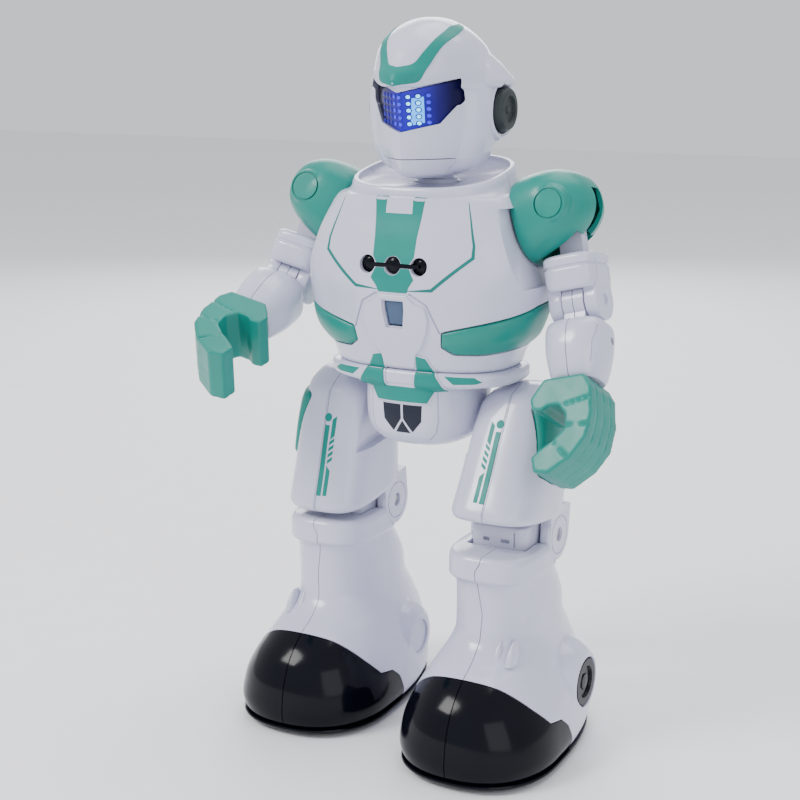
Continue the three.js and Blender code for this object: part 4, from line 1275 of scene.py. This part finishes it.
BOSS_PROFILE = [(-17.2, 4.9), (-17.2, 5.6), (-16.6, 6.4), (-15.4, 6.7), (-9, 6.7)]
PIN_BORE = 2.9
ARM_GAP = {"low": -40, "inner": 6, "out": 40, "above": 7.5, "half": 3}
ARM_MOUTH = {"half": 8, "below": 8}
LINK_HALF = 2.4
SCREW_WELL = 2.2


def cap_loft(rings, around=AROUND):
    return moved(loft(rings, around), Matrix.Rotation(math.pi / 2 - SHOULDER_TILT, 4, "Y"))


def build_shoulder_cap(side, place):
    body = cap_loft(CAP)
    joined(body, turned(BOSS_PROFILE, "y", BOSS))
    softened(body, 0.5, 5)
    trench = cut(rod(5.5, -18, -16.75, "y", BOSS), rod(4.9, -30, 0, "y", BOSS))
    cut(body, trench)
    cut(body, cap_loft(inset(CAP[1:-1], 2.2), 56))
    gap, wide = ARM_GAP, ARM_MOUTH["half"]
    slot = rectangle(BOSS.x - gap["inner"], BOSS.x + gap["out"], gap["low"], BOSS.z + gap["above"])
    mouth = rectangle(BOSS.x - wide, BOSS.x + wide, gap["low"], BOSS.z - ARM_MOUTH["below"])
    cut(
        body,
        prism(rounded(slot, 2), -gap["half"], gap["half"]),
        prism(rounded(mouth, 1.5), -wide, wide),
        rod(PIN_BORE, -13, 13, "y", BOSS),
    )
    cut(body, rod(SCREW_WELL, 13, FAR, "y", BOSS))
    rides = f"{side}_shoulder"
    add(body, f"{rides}_cover", place, rides, "teal", [f"{rides}_cap"])


def build_upper_arm(side, place):
    elbow = -UPPER_ARM
    body = loft(
        [
            ring(elbow + 4.6, 8.6, 9.2, 9.2, power=5),
            ring(elbow + 5.4, 9.2, 9.9, 9.9, power=5),
            ring(elbow + 8, 9.7, 10.4, 10.4, power=5),
            ring(-22.6, 9.7, 10.4, 10.4, power=5),
            ring(-22.2, 9.2, 9.9, 9.9, power=5),
            ring(-21.6, 9.2, 9.9, 9.9, power=5),
            ring(-21.2, 9.7, 10.4, 10.4, power=5),
            ring(-19.0, 9.7, 10.4, 10.4, power=5),
            ring(-17.8, 9.0, 9.7, 9.7, power=4),
            ring(-17.4, 8.0, 8.6, 8.6, power=4),
        ],
        80,
        3,
    )
    joined(body, rod(6, -LINK_HALF, LINK_HALF, "y"), box(-4.5, 4.5, -LINK_HALF, LINK_HALF, -20, 0))
    cut(body, rod(PIN_BORE, -10, 10, "y"), rod(7.9, -4.3, 4.3, "x", ELBOW))
    for low in (-9.4, 4.4):
        cheek = disc(7.6, low, low + 5, "x", ELBOW, 0.8)
        joined(body, cheek, box(low, low + 5, -6.5, 6.5, elbow, elbow + 6))
    joined(body, rod(1.8, -6, 6, "x", ELBOW))
    outer = Skin(body, "out")
    cut(body, *[groove(outer, [(y, -20.6), (y, elbow + 7)], 0.5, 0.4) for y in (-5, 5)])
    cut(body, rod(SCREW_WELL, 8.6, FAR, "x", ELBOW))
    rides = f"{side}_upper_arm"
    add(body, f"{rides}_cover", place, rides, "white", [rides])


FOREARM_SHELL = [
    ring(-FOREARM + 0.2, 8.4, 8.4, 8.4),
    ring(-FOREARM + 0.9, 9.0, 9.0, 9.0),
    ring(-27, 10, 10.2, 9.8),
    ring(-18, 11.4, 12, 11),
    ring(-12.4, 11.1, 11.3, 10.7, power=3),
    ring(-9.6, 10.4, 9.4, 9.8, power=3.2),
    ring(-8.6, 9.2, 7.8, 8.6, power=3.2),
]


def build_forearm(side, place):
    body = loft(FOREARM_SHELL)
    joined(body, rod(7.4, -4, 4, "x"), box(-4, 4, -5, 5, -12, 0))
    outer = Skin(body, "out")
    cut(body, loft(inset(FOREARM_SHELL[1:-2], 2.0), 56))
    cut(body, rod(4.4, -40, -26, "z"), rod(2.2, -12, 12, "x"))
    cut(body, groove(outer, [(-7.2, -12.5), (-9.0, -19), (-8, -26)], 0.5, 0.4))
    cut(body, rod(1.5, 8.5, FAR, "x", (0, 2.5, -15.5)))
    rides = f"{side}_forearm"
    for name, half in zip(("inner", "outer"), halves(body)):
        add(half, f"{rides}_{name}_cover", place, rides, "white", [f"{rides}_{name}"])


HAND = [
    (-8, -0.5), (7, -0.5), (9.5, -5), (10, -15), (8, -23.5), (2.5, -30), (-6, -35), (-11.5, -34),
    (-12.5, -28.5), (-7.5, -25), (-4.5, -23.5), (0, -19.5), (0.3, -14.5), (-2.5, -10.5),
    (-6.5, -10.5), (-9, -12), (-12.5, -11.5), (-13.5, -7.5), (-11, -4),
]
FINGER_GAPS = (-6.4, -1.0, 4.4)
FINGER_FOLDS = [[(10, -9), (-1.5, -11.2)], [(9.6, -19), (0.4, -18.4)], [(1.6, -30.5), (-4.6, -23.8)]]
KNUCKLES = [(9.5, -5), (10.2, -10), (10.2, -15), (9.2, -20), (7.6, -24.6), (2.5, -30.4), (-6, -35.4)]


def build_hand(side, place):
    body = prism(HAND, -11.5, 9.5)
    for y in FINGER_GAPS:
        for start, end in zip(KNUCKLES, KNUCKLES[1:]):
            cut(body, crease(start, end, y))
    for fold in FINGER_FOLDS:
        cut(body, prism(stroke(fold, [1.0, 0.8]), -13, -10.7))
    softened(body, 0.45, 7)
    joined(body, rod(3.9, -1, 4.6, "z"))
    add(body, f"{side}_hand_cover", place, f"{side}_hand", "teal", [f"{side}_hand"], 50)


def crease(start, end, y, depth=1.1, width=0.9):
    """A cutter for the valley between two fingers, along one stretch of the knuckles."""
    start, end = Vector((start[0], 0, start[1])), Vector((end[0], 0, end[1]))
    way = (end - start).normalized()
    out = Vector((-way.z, 0, way.x))
    if out.x < 0 and abs(out.x) > abs(out.z) or out.z > 0 and abs(out.z) >= abs(out.x):
        out = -out
    points = []
    for spot in (start - way * 0.8, end + way * 0.8):
        points.append(spot - out * depth + Vector((0, y, 0)))
        points.append(spot + out * 1.5 + Vector((0, y + width * 1.4, 0)))
        points.append(spot + out * 1.5 + Vector((0, y - width * 1.4, 0)))
    return outward(mesh_object(points, tube_faces(2, 3)))


def build_arm(side, frames):
    build_shoulder_cap(side, frames["cap"])
    build_upper_arm(side, frames["upper_arm"])
    build_forearm(side, frames["forearm"])
    build_hand(side, frames["hand"])


# Legs

THIGH_SHELL = [
    ring(-38.6, 14.9, 21.6, 20.6, y=-12, power=3.4),
    ring(-38.2, 15.7, 22.6, 21.4, y=-12, power=3.4),
    ring(-37.0, 16.4, 23.7, 22.3, y=-12, power=3.4),
    ring(-35.4, 16.7, 24.1, 22.5, y=-12, power=3.4),
    ring(-24, 16.4, 22, 22, y=-9, power=3.2),
    ring(-10, 16, 19.6, 20.5, y=-5.5, power=3),
    ring(0, 15, 17.5, 18, y=-3, power=2.8),
    ring(6, 12.8, 15, 14.5, y=-2, x=1, power=2.8),
    ring(9.2, 9.6, 9.5, 9.5, y=-1, x=2, power=2.6),
    ring(10.6, 6.8, 6.4, 6.4, y=-0.4, x=2.6, power=2.4),
    ring(11, 3, 2.5, 2.5, x=3, power=2.4),
]
THIGH_NOTCH = {"x": -12.8, "z": -16.5}
ARMOUR = [
    (-17.4, 3.2), (6, 4.4), (14.4, -4), (12.4, -24),
    (5, -27.4), (-12, -24.6), (-22.4, -20.6), (-22.0, -17),
]
ARMOUR_CORNER = 2
ARMOUR_LEVELS = [(0, -1.2), (0, -0.1), (0.2, 0.35), (0.6, 0.75), (1.2, 0.95)]
KNEE_BORE = 2.7
KNEE_FORK = 11.8
KNEE_FACE = 16
KNEE_RING = {"outer": 7.4, "inner": 6.9, "deep": 0.45}
KNEE_RADIUS = 10.0
THIGH_DOT = ((-1.0, -3.9), 1.5)
THIGH_BARS = [
    [(-2.0, -6.6), (-0.1, -6.6), (-0.1, -31.6), (-2.0, -31.6)],
    [(-4.6, -3.2), (-2.9, -4.6), (-2.9, -11.8), (-4.6, -10.2)],
    [(-4.4, -22.6), (-2.7, -20.8), (-2.7, -31.4), (-4.4, -31.4)],
]
HATCH = {"first": -12.4, "step": 2.2, "count": 4, "x": -2.7, "wide": 2.0, "drop": 1.5, "thick": 1.3}


def build_thigh(side, place):
    shape = loft(THIGH_SHELL)
    front = Skin(shape, "front")
    outer = Skin(shape, "out")
    wall = copied(shape)
    room = inset([THIGH_SHELL[i] for i in (3, 4, 5, 6, 7)], 2.0, -1.0)
    mouth = [[z, *room[0][1:]] for z in (-50, -34)]
    cut(wall, loft([*mouth, *room[1:]], 64))
    cut(wall, box(-14, 14, 0, 30, -60, -33.5))
    for low in (-16, 12):
        lug = disc(KNEE_RADIUS, low, low + 4, "x", THIGH_KNEE, 1.2)
        joined(wall, lug, box(low, low + 4, -9, 9, -THIGH, -34))
    cut(wall, box(-KNEE_FORK, KNEE_FORK, -26, 30, -60, -30), rod(KNEE_BORE, -FAR, FAR, "x", THIGH_KNEE))
    notch = THIGH_NOTCH
    cut(wall, box(-FAR, notch["x"], -FAR, FAR, notch["z"], FAR))
    lining = joined(
        box(notch["x"], notch["x"] + WALL, -FAR, FAR, notch["z"], FAR),
        box(-FAR, notch["x"] + WALL, -FAR, FAR, notch["z"] - WALL, notch["z"]),
    )
    joined(wall, common(lining, copied(shape)))
    cut(wall, rod(3.9, -FAR, 8, "x"))
    cut(wall, patch(outer, rounded(grown(ARMOUR, 0.4), ARMOUR_CORNER), [(0, -1.5), (0, 4)]))
    cut(wall, groove(front, [(GAP * 2, 6), (GAP * 2, -10), (GAP * 2, -37)], 0.35, 0.35))
    for out in (-1, 1):
        face = out * KNEE_FACE
        low, high = sorted((face, face - out * KNEE_RING["deep"]))
        ring_cut = rod(KNEE_RING["outer"], low, high, "x", THIGH_KNEE)
        cut(wall, cut(ring_cut, rod(KNEE_RING["inner"], -20, 20, "x", THIGH_KNEE)))
        cut(wall, rod(SCREW_WELL, *sorted((face - out * 1.6, face + out)), "x", THIGH_KNEE))
    rides = f"{side}_thigh"
    for name, half in zip(("inner", "outer"), halves(wall)):
        add(half, f"{rides}_{name}_cover", place, rides, "white", [f"{rides}_{name}"])
    armour = patch(outer, rounded(ARMOUR, ARMOUR_CORNER), ARMOUR_LEVELS, crown=0.9, reach=6)
    add(armour, f"{side}_thigh_armour", place, rides, "teal", [f"{side}_thigh_panel"])

    dot = patch(front, circle(*THIGH_DOT), PAINT, 0.5)
    add(dot, f"{side}_thigh_dot", place, rides, "paint")
    bars = list(THIGH_BARS)
    for i in range(HATCH["count"]):
        low = HATCH["first"] - HATCH["step"] * i
        high = low + HATCH["drop"]
        outer_x, inner_x, thick = HATCH["x"], HATCH["x"] - HATCH["wide"], HATCH["thick"]
        bars.append([(inner_x, high), (outer_x, low), (outer_x, low - thick), (inner_x, high - thick)])
    for i, bar in enumerate(bars):
        add(patch(front, bar, PAINT, 0.6), f"{side}_thigh_bar_{i}", place, rides, "paint")
    bpy.data.objects.remove(shape)


FOOT_SHELL = [
    ring(3.5, 27.6, 31.2, 62.2, y=-30, x=0.8, power=2.3),
    ring(4.4, 28.5, 32.1, 63.1, y=-30, x=0.8, power=2.3),
    ring(9, 29.8, 33, 64.5, y=-30, x=0.8, power=2.3),
    ring(17, 28.6, 33, 63.5, y=-29, x=0.6, power=2.3),
    ring(25, 25.6, 33, 59.5, y=-26, x=0.3, power=2.3),
    ring(31, 22.6, 32.4, 54, y=-22, power=2.3),
    ring(36, 20.4, 31, 46, y=-17, power=2.3),
    ring(40.5, 18.6, 28, 38, y=-12, power=2.3),
    ring(47, 17, 25.5, 30, y=-9, power=2.3),
    ring(53, 16.6, 25, 28.6, y=-9, power=2.4),
    ring(60, 16.2, 24.6, 24.4, y=-9.6, power=2.5),
    ring(65, 15.8, 24.2, 20.4, y=-10.4, power=2.6),
    ring(67.6, 15.8, 23.6, 18.5, y=-11.5, power=2.8),
    ring(68.8, 16.7, 24.6, 19.2, y=-12, power=3),
    ring(70.0, 17.2, 25.2, 19.6, y=-12, power=3),
    ring(75.4, 17.2, 25.2, 18.4, y=-12, power=3),
    ring(77.2, 16.6, 24.6, 17.6, y=-12, power=3),
    ring(78, 15.6, 23.6, 16.6, y=-12, power=3),
]
TOE_LINE = [
    (-90, 42), (-52, 39), (-46, 34), (-40, 26), (-34, 19.5),
    (-26, 18), (-21, 14), (-16, 3), (-16, -5), (-90, -5),
]
ANKLE = (0, 1, 22.5)
ANKLE_OUT = 27.8
ANKLE_DOME = [
    (-25.8, 8.6), (-25.5, 9.6), (-24.6, 11.2), (-22.6, 12.8), (-18, 14.6),
    (18, 16.2), (21.6, 15.2), (24.6, 13.6), (26.8, 11.8), (ANKLE_OUT, 10.4),
]
ANKLE_PLATE = [
    (-2, 9.2), (-0.5, 9.2), (0, 8.7), (0, 6.1),
    (-0.9, 5.6), (-1.0, 3.2), (-0.5, 2.8), (-0.4, 0.05),
]
KNEE_CHEEK = 11.4
WHEEL = {"y": 12, "z": 6.5, "radius": 6.5, "half": 4.6}
ROLLER = {"y": -40, "z": 4.0, "radius": 4.0, "half": 9.2}
CALF_SLOTS = (8.5, 11.5)
INSTEP_WEDGES = (7.5, 12.5)
SEAM = [(0.6, 92), (0.6, 76), (-1.2, 73), (-1.0, 66), (0.5, 56), (-0.2, 44), (-0.2, -6)]
SOLE = [
    ring(0.8, 27.0, 30.4, 61.4, y=-30, x=0.8, power=2.3),
    ring(1.4, 28.2, 31.7, 62.8, y=-30, x=0.8, power=2.3),
    ring(2.6, 29.2, 32.8, 64, y=-30, x=0.8, power=2.3),
    ring(3.2, 29.0, 32.6, 63.8, y=-30, x=0.8, power=2.3),
]
TREAD = {"first": -85, "step": 6, "half_length": 16, "half_width": 0.6, "deep": 1.4, "clear": 7}


def wheel_room():
    """The openings in the sole for the drive wheel and the roller."""
    rooms = []
    for part in (WHEEL, ROLLER):
        half, reach = part["half"] + 1, part["radius"] + 1
        rooms.append(box(-half, half, part["y"] - reach, part["y"] + reach, -5, part["radius"] + reach))
    return joined(*rooms)


def build_foot(side, place):
    shape = loft(FOOT_SHELL)
    front = Skin(shape, "front")
    wall = joined(copied(shape), turned(ANKLE_DOME, "x", ANKLE, 72))
    cut(wall, rod(9.6, ANKLE_OUT - 2.4, FAR, "x", ANKLE), rod(7, -FAR, -25.0, "x", ANKLE))
    cut(wall, loft(inset(FOOT_SHELL[2:-2], 2.2, 0.5), 64))
    cut(wall, box(-KNEE_FORK, KNEE_FORK, -22, 30, 64, 90))
    for low, high in ((-FAR, -KNEE_CHEEK), (KNEE_CHEEK, FAR)):
        cut(wall, rod(KNEE_RADIUS + 0.6, low, high, "x", KNEE))
    cut(wall, wheel_room())
    toe_side = prism(TOE_LINE, -FAR, FAR, "x")
    toe = common(copied(wall), copied(toe_side))
    cut(toe, groove(front, [(-0.05, 43), (-0.05, 4)], 0.4, 0.4))
    cut(wall, moved(toe_side, Matrix.Translation((0, GAP, GAP))))
    for y in CALF_SLOTS:
        cut(wall, box(8, FAR, y - 0.4, y + 0.4, 54.2, 56.2))
    for x in INSTEP_WEDGES:
        wedge = loft(
            [
                ring(39.5, 1.9, 5.4, 3, x=x, y=-33, power=2.6),
                ring(43, 1.6, 4.0, 3, x=x, y=-32.6, power=2.4),
                ring(47, 0.6, 1.6, 2, x=x, y=-31.6, power=2),
            ],
            40,
        )
        joined(wall, common(wedge, box(GAP, FAR, -FAR, FAR, 0, FAR)))
    inner_side = prism([(-FAR, SEAM[0][1]), *SEAM, (-FAR, SEAM[-1][1])], -FAR, FAR, "y")
    inner_wall = common(copied(wall), copied(inner_side))
    cut(wall, moved(inner_side, Matrix.Translation((GAP, 0, 0))))
    rides = f"{side}_foot"
    add(inner_wall, f"{side}_shin_inner_cover", place, rides, "white", [f"{side}_shin_inner"])
    add(wall, f"{side}_shin_outer_cover", place, rides, "white", [f"{side}_shin_outer"])
    add(toe, f"{side}_toe_cover", place, rides, "black", [f"{side}_toe_cap"])

    sole = cut(loft(SOLE), wheel_room())
    for y in range(TREAD["first"], 0, TREAD["step"]):
        if abs(y - ROLLER["y"]) > TREAD["clear"]:
            long, wide = TREAD["half_length"], TREAD["half_width"]
            cut(sole, box(-long, long, y - wide, y + wide, 0, TREAD["deep"]))
    add(sole, f"{side}_sole_cover", place, rides, "black", [f"{side}_sole"])

    plate = turned([(ANKLE_OUT + x, radius) for x, radius in ANKLE_PLATE], "x", ANKLE)
    add(plate, f"{side}_ankle_cover", place, rides, "black", [f"{side}_ankle_disc"])
    build_knee_block(side, place)
    build_wheels(side, place)
    bpy.data.objects.remove(shape)


KNEE_BLOCK = [
    ring(65, 10.2, 11.2, 11.2, y=-8.5, power=7),
    ring(66, 11, 12.3, 12.3, y=-8.5, power=7),
    ring(84.8, 11, 12.3, 12.3, y=-8.5, power=7),
    ring(86, 10.2, 11.2, 11.2, y=-8.5, power=7),
]
# Each mark's span across, its span upwards and how far back it is cut
KNEE_MARKS = [
    ((-5.5, -2.9), (79.6, 81.0), -18.8),
    ((1.6, 5.0), (79.6, 81.0), -18.8),
    ((6.6, 7.2), (78.4, 84.0), -20),
]


def build_knee_block(side, place):
    block = loft(KNEE_BLOCK, 72, 3)
    joined(block, disc(9, -11, 11, "x", KNEE, 0.6))
    cut(block, rod(KNEE_BORE, -FAR, FAR, "x", KNEE))
    for across, up, deep in KNEE_MARKS:
        cut(block, box(*across, -30, deep, *up))
    add(block, f"{side}_knee_block", place, f"{side}_foot", "white", [f"{side}_knee_link"])


TYRE = {"shoulder": 5.9, "chamfer": 0.6, "channels": (-2.4, 0, 2.4), "half_channel": 0.3, "hub": 3.6}


def build_wheels(side, place):
    half, radius, chamfer = WHEEL["half"], WHEEL["radius"], TYRE["chamfer"]
    axle = (0, WHEEL["y"], WHEEL["z"])
    shoulder = TYRE["shoulder"]
    profile = [(-half, shoulder), (-half + chamfer, radius), (half - chamfer, radius), (half, shoulder)]
    tread = turned(profile, "x", axle)
    for x in TYRE["channels"]:
        channel = rod(9, x - TYRE["half_channel"], x + TYRE["half_channel"], "x", axle)
        cut(tread, cut(channel, rod(shoulder, -9, 9, "x", axle)))
    for low in (-half - 1, half - 0.8):
        cut(tread, rod(TYRE["hub"], low, low + 1.8, "x", axle))
    rides = f"{side}_wheel"
    add(tread, f"{rides}_tyre", place, rides, "rubber", [f"{side}_drive_wheel"])
    half, radius = ROLLER["half"], ROLLER["radius"]
    right_half = [(0.9, 3.5), (1.2, radius), (half - chamfer, radius), (half, 3.4)]
    profile = [(-x, r) for x, r in reversed(right_half)] + right_half
    bar = turned(profile, "x", (0, ROLLER["y"], ROLLER["z"]))
    add(bar, f"{side}_roller_bar", place, f"{side}_roller", "rubber", [f"{side}_roller"])


def finish_inner_nodes():
    """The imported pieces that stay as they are: what the shells hide, and the pins."""
    looks = {"battery_pack": "grey", "circuit_board": "board", "speaker": "grey"}
    for side in SIDES:
        looks[f"{side}_foot_motor"] = "grey"
        for pin in ("hip_axle", "knee_pin", "arm_pin"):
            looks[f"{side}_{pin}"] = "steel"
    for node, look in looks.items():
        piece = frame["nodes"][node]
        piece.data.materials.clear()
        piece.data.materials.append(LOOKS[look])
        piece.data.set_sharp_from_angle(angle=math.radians(38))


make_camera()
LOOKS = make_materials()
make_studio()
build_torso()
build_switch()
build_head()
for side in SIDES:
    limbs = limb_frames(side)
    build_arm(side, limbs)
    build_thigh(side, limbs["thigh"])
    build_foot(side, limbs["foot"])
finish_inner_nodes()
